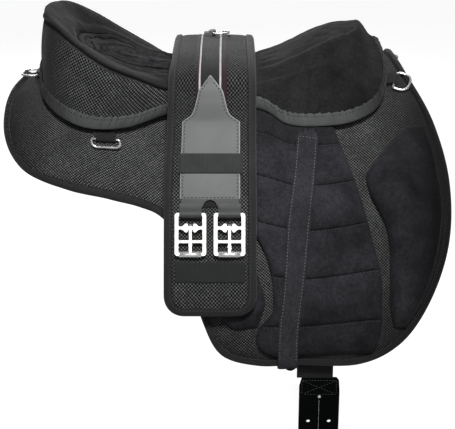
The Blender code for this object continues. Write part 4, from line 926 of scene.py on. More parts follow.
def make_flap_strap(word, side):
    x_at = band(STRAP_REAR, STRAP_FRONT)
    outline = [(x, v) for x, v in even_points(SKIRT_OUTLINE, 72) if v > 0.36 and x < 0.16]
    edge = curve_through(sorted(outline))
    under = -SKIRT_EDGE_THICK - BINDING_PROUD - LAYER
    start = STRAP_TOP - STRAP_EDGE
    path = [(start - STRAP_TUCK, STRAP_LIFT - 0.0012), (start - STRAP_TUCK / 2, STRAP_LIFT - 0.0009)]
    path += [(v, STRAP_LIFT - 0.0007 * (1 - math.sin(math.pi * share)))
             for v, share in zip(spread(start, -0.004, 90), spread(0, 1, 90))]
    path += [(-0.0020, STRAP_LIFT - 0.0016), (0.0002, STRAP_LIFT - 0.003), (0.0007, STRAP_LIFT - 0.006)]
    path += [(0.0007, (STRAP_LIFT + under) / 2), (0.0002, under + 0.002), (-0.0014, under)]
    path.append((-0.018, under - 0.001))
    grid = []
    for k, (v, lift) in enumerate(path):
        dv, dl = along_path(path, k)
        size = math.hypot(dv, dl)
        grid.append([])
        for share in spread(0.0, 1.0, 14):
            x = x_at(v + STRAP_EDGE, share)
            place = edge(x) + v + STRAP_SKEW * (share - 0.5) * (v / start) ** 2
            thick = STRAP_THICK * (0.45 + 0.55 * swell(share, 6) ** 0.5)
            thick += 0.0002 * soft((x, v, side), 0.008, 2.0)
            top = skin(x, place - thick * dl / size, lift + thick * dv / size, side)
            grid[-1].append((skin(x, place, lift, side), top, (x, v)))
    between(f"flap_band_{word}", grid, STRAP_SUEDE, "strap_suede", [f"flap_strap_{word}"])
    rows = []
    for share in STRAP_SEAMS:
        rows.append([])
        for v, lift in path[2:92]:
            x = x_at(v + STRAP_EDGE, share)
            rows[-1] += on_skin([(x, edge(x) + v)], lift + STRAP_THICK * 0.93, side)
    rows.append([])
    for share in spread(0.1, 0.9, 8):
        x = x_at(STRAP_TOP + 0.004, share)
        v = edge(x) + start + STRAP_SKEW * (share - 0.5)
        rows[-1] += on_skin([(x, v)], STRAP_LIFT + STRAP_THICK * 0.75, side)
    stitches(f"flap_band_stitches_{word}", rows, PALE_THREAD, "strap_suede", STRAP_STITCH)


for word, side in SIDES.items():
    make_flap_strap(word, side)
print("straps done")

# %% [markdown]
# ## The seat
# The seat is one long cushion. Its wall rises from the hem to a seam, of spacer mesh behind and suede in front,
# and its suede top rolls over inside that seam and sinks to the middle. A station round the rim gives the hem,
# the seam and the height of the roll, and a spline joins the stations.

# %% Sections of the seat
SEAT_LIFT = 0.0095
CREST_HEIGHT = ((-0.165, 0.043), (-0.150, 0.039), (-0.137, 0.033), (-0.1245, 0.028), (-0.112, 0.0245),
                (-0.093, 0.0215), (-0.070, 0.018), (-0.020, 0.0170), (0.036, 0.0165), (0.075, 0.0235),
                (0.111, 0.037), (0.144, 0.0425))
SEAT_WALL_BULGE = 0.0040
SEAT_RINGS = (0.40, 0.69, 0.86)             # shares of the way from the seam to the mid-plane
SEAT_RING_DEPTH = 0.0052
SEAT_RING_WIDTH = 0.0022
SEAT_RING_END = 0.47        # the rings run out at this share of the rim, under the girth
SEAT_RIDGE_HEIGHT = 0.0022  # the filling stands up in a ridge beside each ring
SEAT_RIDGE_AWAY = 0.0065
SEAT_RIDGE_WIDTH = 0.0042
SEAT_FOLDS = (0.50, 0.59, 0.775, 0.925)     # lesser folds, that no seam holds
SEAT_FOLD_DEPTH = 0.0022
SEAT_FOLD_WIDTH = 0.0013
SEAT_FOLD_WANDER = 0.0014
SEAT_PUCKER = 0.00045
SEAT_SOFT = 0.0011
SEAT_CREASE = 0.0005
GIRTH_WRINKLE = 0.0030
FOLD_SHADE = 0.80           # the share of a fold's half width that lies in its own shadow
SHADED_DEPTH = 0.0005       # a lesser fold that is less deep has no shadow
GIRTH_PRESS = ((0.036, 1), (-0.078, -1))    # x of the girth's edges on the seat, and the way out from each
SEAT_SHARES = 210
BASE_COLUMNS = 4
WALL_ROWS = 14
TOP_ROWS = 110
ROLL_OUT = 0.0042           # how far the roll inside the seam bulges outwards
MESH_END = 0.50             # the wall is mesh up to this share of the rim, and suede in front of it
HEM_HEIGHT = 0.0160
HEM_PROUD = 0.0040
HEM_GATHER = 0.0006
HEM_GAP = 0.0011
PIPING_RADIUS = 0.0019
PIPING_END = 0.52


def seat_section(share, side):
    """At a share of the rim: hem and seam points, the middle's x, and the heights of seam, roll and ring."""
    hx, hv, lift, sx, sy, height, cx, rise, groove = spline(SEAT_STATIONS, share)
    hem = skin(hx, max(hv, 0.0), lift, side)
    seam = Vector((sx, side * max(sy, 0.0), ridge(sx) + height))
    return hem, seam, cx, height, rise, groove


def outward(share, side):
    """The level direction out of the seat's wall at this share of the rim."""
    step = 0.004
    before = seat_section(max(share - step, 0.0), side)
    after = seat_section(min(share + step, 1.0), side)
    run = (after[0] + after[1]) - (before[0] + before[1])
    if share < step:
        run = Vector((0, side, 0))
    if share > 1 - step:
        run = Vector((0, -side, 0))
    return (Vector((-run.y, run.x, 0)) * side).normalized()


def wall_point(share, up, side, proud=0.0):
    """A point on the seat's wall: up runs from 0 at the hem to 1 at the seam."""
    hem, seam = seat_section(share, side)[:2]
    bulge = SEAT_WALL_BULGE * math.sin(math.pi * up) ** 0.8 if 0 < up < 1 else 0.0
    return hem.lerp(seam, up) + outward(share, side) * (bulge + proud)


def hem_top(share, side):
    """How far up the wall the hem binding reaches at this share of the rim."""
    hem, seam = seat_section(share, side)[:2]
    return min(HEM_HEIGHT / (seam - hem).length, 0.85)


def rim_runs(shares, side):
    """How far along the rim each share lies."""
    return running([wall_point(share, 0.5, side) for share in shares])


# %% [markdown]
# ## Rings, folds and wrinkles
# Three sewn rings behind the rider hold the filling in rolls, and lesser folds run between them. The cloth at
# the bottom of a fold gets a darker suede as painted shadow. The girth's edges draw fine wrinkles out.

# %% The cushion itself
def bell(away, width):
    """1 at no distance, and next to nothing beyond twice the width."""
    return math.exp(-(away / width) ** 2)


def lesser_folds(t, run, across):
    """How far this place is from each lesser fold, with the fold's depth there."""
    for n, fold in enumerate(SEAT_FOLDS):
        away = abs((t - fold) * across + SEAT_FOLD_WANDER * ripple(run, 0.055, n + 9.0))
        yield away, SEAT_FOLD_DEPTH * (0.6 + 0.4 * ripple(run, 0.030, n + 2.0))


def seat_top(section, crest, t, run, share, out):
    """A point of the suede top, t from 0 at the seam to 1 on the mid-plane."""
    _, seam, cx, rim_height, rise, groove = section
    inside = t / SEAT_RINGS[0]
    if inside < 1:
        roundness = 0.50 + 0.30 * smooth_step((share - 0.05) / 0.20)
        height = partway(rim_height, groove, smooth_step(inside))
        height += rise * math.sin(math.pi * inside) ** roundness
    else:
        beyond = (1 - t) / (1 - SEAT_RINGS[0])
        height = partway(crest(cx), groove, beyond ** 2)
    x = partway(seam.x, cx, t)
    point = Vector((x, seam.y * (1 - t), ridge(x) + height))
    if inside < 1:
        bulge = math.sin(math.pi * inside ** 0.55)
        point += out * (ROLL_OUT * bulge * (1 - smooth_step((share - 0.35) / 0.3)))
    across = math.hypot(seam.x - cx, seam.y)
    fade = 1 - smooth_step((share - SEAT_RING_END + 0.04) / 0.04)
    drop = 0.0
    for n, ring in enumerate(SEAT_RINGS):
        away = abs(t - ring) * across
        drop += SEAT_RING_DEPTH * bell(away, SEAT_RING_WIDTH)
        drop -= SEAT_RIDGE_HEIGHT * bell(away - SEAT_RIDGE_AWAY, SEAT_RIDGE_WIDTH)
        drop -= SEAT_PUCKER * ripple(run, 0.0090, n + 4.0) * math.exp(-away / 0.006)
    for away, depth in lesser_folds(t, run, across):
        drop += depth * bell(away, SEAT_FOLD_WIDTH)
    wrinkle = SEAT_SOFT * soft(point, 0.030, 1.0) + SEAT_CREASE * soft(point, 0.011, 2.0)
    for edge, way in GIRTH_PRESS:
        beyond = way * (point.x - edge)
        if beyond > 0:
            drawn = smooth_step(beyond / 0.008) * bell(beyond, 0.035)
            wrinkle += GIRTH_WRINKLE * soft((point.x * 0.25, t * across, 0.0), 0.011, 6.0) * drawn
    point.z += wrinkle * min(t * 8, 1.0) - drop * fade
    return point


def in_painted_fold_shadow(t, share, side, run):
    """Whether a place on the top lies so deep in a ring or a fold that its own shadow is painted on the cloth.
    """
    _, seam, cx = seat_section(share, side)[:3]
    across = math.hypot(seam.x - cx, seam.y)
    folds = [(abs(t - ring) * across, SEAT_RING_WIDTH) for ring in SEAT_RINGS]
    folds += [(away, SEAT_FOLD_WIDTH) for away, depth in lesser_folds(t, run, across) if depth > SHADED_DEPTH]
    return share < SEAT_RING_END - 0.02 and any(away < width * FOLD_SHADE for away, width in folds)


def make_seat():
    crest = curve_through(CREST_HEIGHT)
    points, faces, flat, paint = [], [], [], []
    shares = spread(0.0, 1.0, SEAT_SHARES)
    for side in SIDES.values():
        first = len(points)
        runs = rim_runs(shares, side)
        for share, run in zip(shares, runs):
            section = hem, seam, cx, *_ = seat_section(share, side)
            hx, hv, lift = spline(SEAT_STATIONS, share)[:3]
            line = [skin(partway(cx, hx, part), max(hv, 0.0) * part, partway(SEAT_LIFT, lift, part), side)
                    for part in spread(0.0, 1.0, BASE_COLUMNS)[:-1]]
            places = [(p.x, p.y) for p in line]
            tall = (seam - hem).length
            out = outward(share, side)
            for up in spread(0.0, 1.0, WALL_ROWS)[:-1]:
                dent = 0.0010 * soft((run, up * 0.05, side), 0.030, 8.0) * math.sin(math.pi * up)
                line.append(wall_point(share, up, side, dent))
                places.append((run * side, up * tall))
            for t in spread(0.0, 1.0, TOP_ROWS):
                line.append(seat_top(section, crest, t, run, share, out))
                places.append((line[-1].x, line[-1].y))
            width = len(line)
            points += line
            flat += places
        for i in range(SEAT_SHARES):
            for j in range(width - 1):
                a = first + i * width + j
                faces.append((a, a + 1, a + width + 1, a + width))
                wall = j - BASE_COLUMNS
                is_mesh = 0 <= wall < WALL_ROWS and shares[i] < MESH_END
                t = (wall + 0.5 - WALL_ROWS) / TOP_ROWS
                # material 2 is the painted shadow at the bottom of a ring or fold
                paint.append(1 if is_mesh else 2 if in_painted_fold_shadow(t, shares[i], side, runs[i]) else 0)
    materials = (SEAT_SUEDE, SEAT_MESH, FOLD_SHADOW_SUEDE)
    seat = build("seat", points, faces, materials, flat, "suede", ["seat_cushion"], paint=paint)


make_seat()
print("seat done")

# %% [markdown]
# ## The seat's trims
# A grey tape binds the seat's lower edge. It is gathered, so its upper edge is a row of small puckers. A thin
# welt of rolled dark suede covers the seam between wall and top behind; its darkness also paints the roll's
# shade.


# %% Hem binding and welt
def round_the_rim(shares):
    """These shares on both sides, from the right side over the rear to the left."""
    return [(share, -1) for share in reversed(shares)] + [(share, 1) for share in shares[1:]]


def make_hem_binding():
    shares = spread(0.0, 1.0, 520)
    runs = {side: dict(zip(shares, rim_runs(shares, side))) for side in SIDES.values()}
    whole = runs[-1][1.0]
    sections, reach = [], []
    for share, side in round_the_rim(shares)[:-1]:
        run = whole + side * runs[side][share]
        up = hem_top(share, side)
        wave = ripple(run, 0.0090, 7.0) + 0.7 * ripple(run, 0.0052, 3.0)
        edge = up * (1 + 0.06 * wave)
        puff = HEM_GATHER * wave
        profile = ((0.0, HEM_GAP), (up * 0.5, 2 * HEM_GAP), (up * 0.96, HEM_GAP), (edge, HEM_GAP + 0.0006),
                   (edge, HEM_GAP + 0.0014), (up * 0.90, HEM_PROUD * 0.72 + puff),
                   (up * 0.74, HEM_PROUD * 0.95 + puff), (up * 0.50, HEM_PROUD * 1.02 + puff / 2),
                   (up * 0.25, HEM_PROUD + puff / 3), (up * 0.06, HEM_PROUD), (0.0, HEM_PROUD * 0.8))
        sections.append([wall_point(share, u, side, proud) for u, proud in profile])
        reach.append(run)
    swept("seat_hem", sections, True, reach, HEM_TAPE, "hem_binding", ["seat_hem_binding"])
    rows = [[(wall_point(share, hem_top(share, side) * 0.80, side, HEM_PROUD * 0.95), outward(share, side))
             for share in spread(0.004, 0.996, 500)] for side in SIDES.values()]
    stitches("seat_hem_stitches", rows, DARK_THREAD, "hem_binding", HEM_STITCH)


def make_seat_welt():
    center = []
    for share, side in round_the_rim(spread(0.0, PIPING_END, 200)):
        out = outward(share, side)
        seam = seat_section(share, side)[1]
        proud = PIPING_RADIUS * (0.2 + 0.7 * smooth_step((share - 0.03) / 0.08))
        center.append((seam + (out + Vector((0, 0, 0.2))).normalized() * proud, out))
    sections, last = [], len(center) - 1
    reach = running([middle for middle, _ in center])
    for k, (middle, out) in enumerate(center):
        run = (center[min(k + 1, last)][0] - center[max(k - 1, 0)][0]).normalized()
        up = run.cross(out).normalized()
        level = up.cross(run).normalized()
        taper = min(k / 6, (last - k) / 6, 1.0)
        radius = PIPING_RADIUS * (0.55 + 0.45 * taper) * (1 + 0.05 * ripple(reach[k], 0.007, 9.0))
        sections.append([middle + level * u + up * v for u, v in circle(radius, 12)])
    swept("seat_welt", sections, False, reach, WELT_SHADE_SUEDE, "suede", ["seat_piping"])


make_hem_binding()
make_seat_welt()
print("seat trims done")

# %% [markdown]
# ## The girth
# The girth lies across the seat and hangs down both sides. Its section across the saddle is one smooth path;
# every layer is placed by s, the distance along it from the middle, and by x across it.

# %% The girth's path
GIRTH_PATH = ((0.000, 0.0435), (0.042, 0.0425), (0.074, 0.0365), (0.0955, 0.0255), (0.1050, 0.0060),
              (0.1120, -0.0190), (0.1260, -0.0440), (0.1440, -0.0680), (0.1600, -0.0940), (0.1750, -0.1260),
              (0.1900, -0.1620), (0.2036, -0.2000), (0.2092, -0.2262))
GIRTH_NARROWS = ((0.0, 0.13), (0.06, 0.13), (0.10, 0.08), (0.15, 0.055), (0.24, 0.0), (0.50, 0.0))
GIRTH_X = -0.0205
GIRTH_WIDTH = 0.110
GIRTH_THICK = 0.014
GIRTH_CORNER = 0.024
GIRTH_EDGE = 0.0100
GIRTH_PUFF = 0.0011         # the filling stands up by this much beside the striped web
GIRTH_UNEVEN = 0.0006
GIRTH_UNEVEN_FROM = 0.036   # the leathers and bands lie flat inside this distance from the middle
CENTER_WEB_WIDTH = 0.040
CENTER_WEB_THICK = 0.0012
LEATHER_THICK = 0.0028
LEATHER_WIDTH = 0.071
LEATHER_TIP = 0.098
LEATHER_BAR = 0.260
LEATHER_NOTCH = 0.008
NOTCH_START = 0.240
KEEPER_TOP = 0.191
KEEPER_LENGTH = 0.023
KEEPER_THICK = 0.0014
KEEPER_SPARE = 0.0035       # how far it reaches past each side of the leather
END_BAND_START = 0.055
END_BAND_LENGTH = 0.0235
END_BAND_HALF = 0.0415
PATH_STEPS = 900


class Girth:
    """The girth's section across the saddle as one smooth path, measured along itself."""

    def __init__(self):
        mirrored = [(-y, z) for y, z in reversed(GIRTH_PATH[1:])]
        self.points = even_points(tuple(mirrored) + GIRTH_PATH, PATH_STEPS)
        self.length = running(self.points)[-1]
        self.half = self.length / 2
        self.narrow = curve_through(GIRTH_NARROWS)

    def at(self, s):
        """Point, downhill tangent and outward normal at s from the middle, negative to the right."""
        place = (s + self.half) / self.length * PATH_STEPS
        i = min(max(int(place), 2), PATH_STEPS - 3)
        f = place - i
        a, b = self.points[i], self.points[i + 1]
        y, z = (partway(p, q, f) for p, q in zip(a, b))
        before, after = self.points[i - 2], self.points[i + 3]
        tangent = Vector((0, after[0] - before[0], after[1] - before[1])).normalized()
        normal = Vector((0, -tangent.z, tangent.y))
        return Vector((GIRTH_X, y, z)), tangent, normal

    def lifted(self, x, s, lift):
        """A point over the girth's underside, x measured from the girth's own middle."""
        here, _, normal = self.at(s)
        width = 1 - self.narrow(abs(s)) if x < 0 else 1
        return here + normal * lift + X_AXIS * x * width

    def line(self, places, lift):
        """A path for stitches from (x, s) places."""
        return [(self.lifted(x, s, lift), self.at(s)[2]) for x, s in places]


GIRTH = Girth()
WEB_LOW = GIRTH_THICK + TOUCH
LEATHER_LOW = WEB_LOW + CENTER_WEB_THICK + TOUCH
LEATHER_END = LEATHER_BAR - 0.0083
print("girth length", round(2 * GIRTH.half, 3))


def girth_layer(name, rows, low, thick, material, slot, nodes=()):
    """A piece that lies along the girth: rows hold (x, s) pairs. low and thick are functions of x and s."""
    def spot(x, s):
        return GIRTH.lifted(x, s, low(x, s)), GIRTH.lifted(x, s, low(x, s) + thick(x, s)), (x, s)

    grid = [[spot(x, s) for x, s in row] for row in rows]
    return between(name, grid, material, slot, nodes, "girth")


def strip(half_width, columns, start, end, steps, side=1):
    """Rows of (x, s) pairs for a strip of one width along the girth."""
    return [[(x, side * s) for x in spread(-half_width, half_width, columns)]
            for s in spread(start, end, steps)]


# %% The girth's pad and its bound edge
def make_girth_pad():
    inner = GIRTH_WIDTH / 2 - GIRTH_EDGE - TOUCH
    end = GIRTH.half - GIRTH_EDGE - TOUCH
    corner = GIRTH_CORNER - GIRTH_EDGE
    values = [-end + corner * (1 - math.cos(QUARTER * k / 8)) for k in range(9)]
    values += spread(-end + corner, end - corner, 260)[1:-1]
    values += [-v for v in reversed(values[:9])]
    rows = []
    for s in values:
        beyond = max(abs(s) - (end - corner), 0.0)
        width = inner - corner + math.sqrt(max(corner ** 2 - beyond ** 2, 0.0))
        rows.append([(x, s) for x in spread(-width, width, 34)])

    def puff(x, s):
        across = min(abs(x) / inner, 1.0)
        rise = GIRTH_PUFF * (1 - across ** 4) if abs(x) > CENTER_WEB_WIDTH / 2 else 0.0
        uneven = GIRTH_UNEVEN * soft((x, s, 0), 0.03, 11.0) if abs(x) > GIRTH_UNEVEN_FROM else 0.0
        return GIRTH_THICK + rise + uneven - GIRTH_UNEVEN * across ** 12

    pad = girth_layer("girth_cushion", rows, lambda x, s: 0.0, puff, GIRTH_MESH, "seat_mesh", ["girth_pad"])


def make_girth_binding():
    loop = []
    for n, (x_sign, s_sign) in enumerate(((1, 1), (-1, 1), (-1, -1), (1, -1))):
        x, s = x_sign * (GIRTH_WIDTH / 2 - GIRTH_CORNER), s_sign * (GIRTH.half - GIRTH_CORNER)
        loop += [((x, s), direction) for direction in circle(1.0, 15, start=n * QUARTER, sweep=QUARTER)]
        if x_sign != s_sign:        # a long side follows this corner
            loop += [((x, place), (x_sign, 0.0)) for place in spread(s, -s, 360)[1:-1]]
    profile = ((0.0, -0.0004), (0.35, -0.0004), (0.8, 0.0010), (0.98, 0.0036), (1.0, GIRTH_THICK * 0.5),
               (0.98, GIRTH_THICK * 0.78), (0.80, GIRTH_THICK + 0.0001), (0.45, GIRTH_THICK + 0.0011),
               (0.15, GIRTH_THICK + 0.0012), (0.0, GIRTH_THICK + 0.0002))

    def around(share):
        """A line round the girth, at a share of its bound edge's width."""
        r = GIRTH_CORNER - GIRTH_EDGE + GIRTH_EDGE * share
        return [(x + out_x * r, s + out_s * r) for (x, s), (out_x, out_s) in loop]

    lines = zip(*(around(share) for share, _ in profile))
    sections = [[GIRTH.lifted(*spot, lift) for spot, (_, lift) in zip(spots, profile)] for spots in lines]
    swept("girth_edge", sections, True, running(around(1.0)), EDGE_TAPE, "skirt_edge", ["girth_binding"],
          "girth")
    seam = around(0.22)
    path = GIRTH.line(seam + seam[:1], GIRTH_THICK + 0.0012)
    stitches("girth_edge_stitches", [path], GREY_THREAD, "skirt_edge", GIRTH_EDGE_STITCH, "girth")


make_girth_pad()
make_girth_binding()

# %% Webbing, leathers, keepers and bands
LEATHER_WIDTHS = ((0.0, 0.001), (0.0058, 0.0082), (0.0115, 0.0148), (0.0150, 0.0163), (0.0215, 0.0178),
                  (0.0365, 0.0235), (0.0440, 0.0315), (0.0485, LEATHER_WIDTH / 2), (0.20, LEATHER_WIDTH / 2))
LEATHER_LIP = 0.0011
STITCH_INSET = 0.0034
LAST_ROW_UP = 0.0190        # the cross row lies this far above the buckle's bar


def make_center_web():
    rows = strip(CENTER_WEB_WIDTH / 2, 16, -LEATHER_END, LEATHER_END, 240)
    girth_layer("girth_striped_web", rows, lambda x, s: WEB_LOW, lambda x, s: CENTER_WEB_THICK * 0.95, STRIPED,
                "striped_webbing", ["girth_center_web"])


def make_leather(word, side):
    """The leather of one end: a tongue that widens to carry both buckles, with a round notch between them."""
    width_at = curve_through(LEATHER_WIDTHS)
    length = LEATHER_END - LEATHER_TIP
    values = sorted({*spread(0.0, 0.010, 10), *spread(0.010, 0.052, 42), *spread(0.052, length - 0.014, 50),
                     *spread(length - 0.014, length, 16)})
    grid = []
    for value in values:
        width = width_at(value)
        inner = [-width + LEATHER_LIP + (width - LEATHER_LIP) * 2 * k / 48 for k in range(49)]
        grid.append([])
        for x in (-width, *inner, width):
            low_part = max(0.0, (LEATHER_TIP + value - NOTCH_START) / (LEATHER_END - NOTCH_START))
            cut = math.sqrt(max(LEATHER_NOTCH ** 2 - x ** 2, 0.0)) * low_part
            s = side * (LEATHER_TIP + value - cut)
            near_edge = min(width - abs(x), value + 0.0003, length - value + 0.0006)
            thick = LEATHER_THICK * (0.62 + 0.38 * min(near_edge / 0.0016, 1.0) ** 0.5)
            top = GIRTH.lifted(x, s, LEATHER_LOW + thick)
            grid[-1].append((GIRTH.lifted(x, s, LEATHER_LOW), top, (x, s)))
    face = between(f"girth_tongue_{word}", grid, (GREY_LEATHER, GREY_EDGE, LOOP_SHADE_LEATHER), "girth_leather",
                   [f"girth_leather_{word}"], "girth")
    edge = LEATHER_LIP * 1.05
    for polygon in face.data.polygons:
        places = [face.data.uv_layers[0].data[k].uv for k in polygon.loop_indices]
        x = sum(p[0] for p in places) / len(places)
        value = abs(sum(p[1] for p in places) / len(places)) - LEATHER_TIP
        # below the cross row: darker loop leather, partly painted shade of the curl round the bar
        if value > LEATHER_BAR - LAST_ROW_UP + 0.0014 - LEATHER_TIP:
            polygon.material_index = 2
        elif abs(x) > width_at(value) - edge or value < edge:
            polygon.material_index = 1
    seams = []
    for sign in (-1, 1):
        line = [(sign * max(width_at(v) - STITCH_INSET, 0.001), side * (LEATHER_TIP + v))
                for v in spread(0.0045, LEATHER_BAR - LAST_ROW_UP - LEATHER_TIP, 160)]
        seams.append(GIRTH.line(line, LEATHER_LOW + LEATHER_THICK))
    bottom = [(x, side * (LEATHER_BAR - LAST_ROW_UP))
              for x in spread(STITCH_INSET - LEATHER_WIDTH / 2, LEATHER_WIDTH / 2 - STITCH_INSET, 40)]
    seams.append(GIRTH.line(bottom, LEATHER_LOW + LEATHER_THICK))
    stitches(f"girth_tongue_stitches_{word}", seams, BLACK_THREAD, "girth_leather", LEATHER_STITCH, "girth")


def make_bands(word, side):
    over = LEATHER_LOW + LEATHER_THICK + TOUCH
    step = LEATHER_WIDTH / 2
    rows = strip(step + KEEPER_SPARE, 80, KEEPER_TOP, KEEPER_TOP + KEEPER_LENGTH, 14, side)

    def rise(x, s):
        return over + (WEB_LOW - over) * smooth_step((abs(x) - step - 0.0004) / 0.0014)

    def soft_edge(x, s):
        near = min(abs(s) - KEEPER_TOP, KEEPER_TOP + KEEPER_LENGTH - abs(s))
        return KEEPER_THICK * (0.6 + 0.4 * min(near / 0.001, 1.0))

    girth_layer(f"girth_loop_{word}", rows, rise, soft_edge, ELASTIC, "elastic", [f"girth_keeper_{word}"])
    start = LEATHER_BAR + END_BAND_START
    rows = strip(END_BAND_HALF, 60, start, start + END_BAND_LENGTH, 14, side)
    girth_layer(f"girth_end_strip_{word}", rows, lambda x, s: WEB_LOW + 0.0003, lambda x, s: CENTER_WEB_THICK,
                END_BAND, "elastic", [f"girth_end_band_{word}"])


make_center_web()
for word, side in SIDES.items():
    make_leather(word, side)
    make_bands(word, side)
print("girth done")

# %% [markdown]
# ## What lies under the skirt
# Two foam panels rest on the horse, with a channel for the spine between them. One rigging web crosses under
# the ridge and carries the billets. Two stiff arches stay sealed in the seat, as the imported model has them.

# %% Panels, spine strip and rigging web
UNDER_GAP = 0.0026
PANEL_THICK = 0.020
PANEL_EDGE_THICK = 0.006
PANEL_X = (-0.236, 0.072)
PANEL_V = (0.034, 0.168)
BEARING_X = (-0.225, -0.185)
BEARING_V = (0.080, 0.120)
WEB_X = (0.0845, 0.1285)
WEB_THICK = 0.0022
WEB_END = 0.4135


def make_panels():
    middle_v = sum(BEARING_V) / 2
    places = sorted({*spread(*PANEL_X, 70), *BEARING_X})
    values = sorted({*spread(*PANEL_V, 36), *BEARING_V})
    low = -SKIRT_THICK - UNDER_GAP
    for word, side in SIDES.items():
        center = skin(sum(BEARING_X) / 2, middle_v, low - PANEL_THICK, side)
        square = (skin(center.x, middle_v, low, side) - center).normalized()
        grid = []
        for x in places:
            grid.append([])
            over = swell((x - PANEL_X[0]) / (PANEL_X[1] - PANEL_X[0]), 6)
            for v in values:
                down = swell((v - PANEL_V[0]) / (PANEL_V[1] - PANEL_V[0]), 4)
                thick = partway(PANEL_EDGE_THICK, PANEL_THICK, over * down)
                point = skin(x, v, low - thick, side)
                if BEARING_X[0] <= x <= BEARING_X[1] and BEARING_V[0] <= v <= BEARING_V[1]:
                    point -= square * (point - center).dot(square)
                grid[-1].append((point, skin(x, v, low, side), (x, v)))
        panel = between(f"foam_panel_{word}", grid, FOAM_CLOTH, "foam", [f"panel_{word}"])


def make_rigging_web():
    """The web that crosses under the ridge, from one billet hanger to the other."""
    low = -SKIRT_THICK - UNDER_GAP - WEB_THICK
    grid = []
    for x in spread(*WEB_X, 10):
        reach = WEB_END + ridge(x) - ridge(sum(WEB_X) / 2)
        grid.append([])
        for v in spread(-reach, reach, 160):
            side = 1 if v >= 0 else -1
            grid[-1].append((skin(x, abs(v), low, side), skin(x, abs(v), low + WEB_THICK, side), (x, v)))
    between("rigging_strap", grid, WEBBING, "webbing", ["rigging_web"])


make_panels()
make_rigging_web()
for node in ("pommel_arch", "cantle_arch", "spine_strip"):
    bpy.data.objects[node].data.materials.clear()
    bpy.data.objects[node].data.materials.append(STIFFENER)
print("panels and web done")

# %% [markdown]
# ## Rings and their tabs
# Each D-ring is bent from round wire: a straight bar through a folded webbing tab, and a bow.

# %% Rings
WIRE = 0.0014               # its radius
WIRE_BEND = 0.003
SIDE_RING = (0.035, 0.012)
CRUPPER_RING = (0.035, 0.020)
FRONT_RING = (0.026, 0.018)
SIDE_RING_AT = (-0.146, 0.140)
SIDE_RING_TURN = math.radians(15)
FRONT_RING_AT = (0.2072, 0.0665)
FRONT_RING_TURN = math.radians(20)
CRUPPER_RING_X = -0.2424
GIRTH_RING_MIDDLE = (-0.0185, 0.04805, 0.06062)     # of its bar
GIRTH_RING_BAR = (0.0, -0.99362, 0.11279)           # the way the bar points
TAB_SLACK = 0.0105
TAB_THICK = 0.0015
TAB_LENGTH = 0.012
BORE_GAP = 0.0005
RING_LIFT = LAYER + WIRE + BORE_GAP + TAB_THICK


def make_ring(name, start, along, up, size, node):
    """A ring of round wire: its bar lies along one direction, and its bow reaches up from it."""
    half, depth = size[0] / 2, size[1]
    bend = depth / 2
    inner = half - WIRE_BEND
    path = circle(bend, 14, (half - bend, depth - bend), 0, QUARTER)
    path += circle(bend, 14, (-half + bend, depth - bend), QUARTER, QUARTER)
    path += circle(WIRE_BEND, 8, (-inner, WIRE_BEND), math.pi, QUARTER)
    path += circle(WIRE_BEND, 8, (inner, WIRE_BEND), -QUARTER, QUARTER)
    through = along.cross(up)
    sections = []
    for k, (u, v) in enumerate(path):
        before, after = path[k - 1], path[(k + 1) % len(path)]
        du, dv = after[0] - before[0], after[1] - before[1]
        run = math.hypot(du, dv)
        out = along * (dv / run) + up * (-du / run)
        middle = start + along * u + up * v
        sections.append([middle + out * p + through * q for p, q in circle(WIRE * 0.97, 16)])
    swept(name, sections, True, running(path), STEEL, "steel", [node], node)


def make_tab(name, start, up, square, width, material, node, slot, body):
    """The tab folded round a ring's bar, with its tail sewn down behind the bar."""
    hole = WIRE + BORE_GAP
    outer = hole + TAB_THICK
    profile = circle(outer, 22, (0, 0), -QUARTER, math.pi)
    profile += [(-TAB_LENGTH * 0.35, outer * 0.78), (-TAB_LENGTH * 0.62, -outer + 2.2 * TAB_THICK + 0.0006),
                (-TAB_LENGTH, -outer + 2 * TAB_THICK + 0.0004), (-TAB_LENGTH, -outer)]
    plate(name, [profile, circle(hole, 20)], start, up, square, width, 0.0003, material, slot, [node], body)
    across = up.cross(square)
    height = -outer + 2 * TAB_THICK + 0.0009
    rows = [[(start - up * (TAB_LENGTH * share) + across * u + square * height, square)
             for u in spread(-width / 2 + 0.001, width / 2 - 0.001, 12)] for share in (0.72, 0.92)]
    stitches(name + "_stitches", rows, BLACK_THREAD, slot, TAB_STITCH, body)


def ring_frame(x, v, lift, side):
    """A point over the skin, with the skin's forward and downward directions."""
    here = skin(x, v, lift, side)
    forward = (skin(x + 0.004, v, lift, side) - skin(x - 0.004, v, lift, side)).normalized()
    down = skin(x, v + 0.004, lift, side) - skin(x, v - 0.004, lift, side)
    down = (down - forward * down.dot(forward)).normalized()
    return here, forward, down


def turned(bow, bar, angle, sign):
    """The directions of a ring's bar and bow, turned within the face of the skin."""
    return ((bar * math.cos(angle) - bow * math.sin(angle)) * sign,
            bow * math.cos(angle) + bar * math.sin(angle))


def make_ring_and_tab(kind, end, start, bar, bow, size, material=WEBBING, slot="webbing", body="saddle"):
    make_ring(f"{kind}_wire{end}", start, bar, bow, size, f"{kind}_ring{end}")
    make_tab(f"{kind}_tab{end}", start, bow, bar.cross(bow).normalized(), size[0] - TAB_SLACK, material,
             f"{kind}_ring_tab{end}", slot, body)


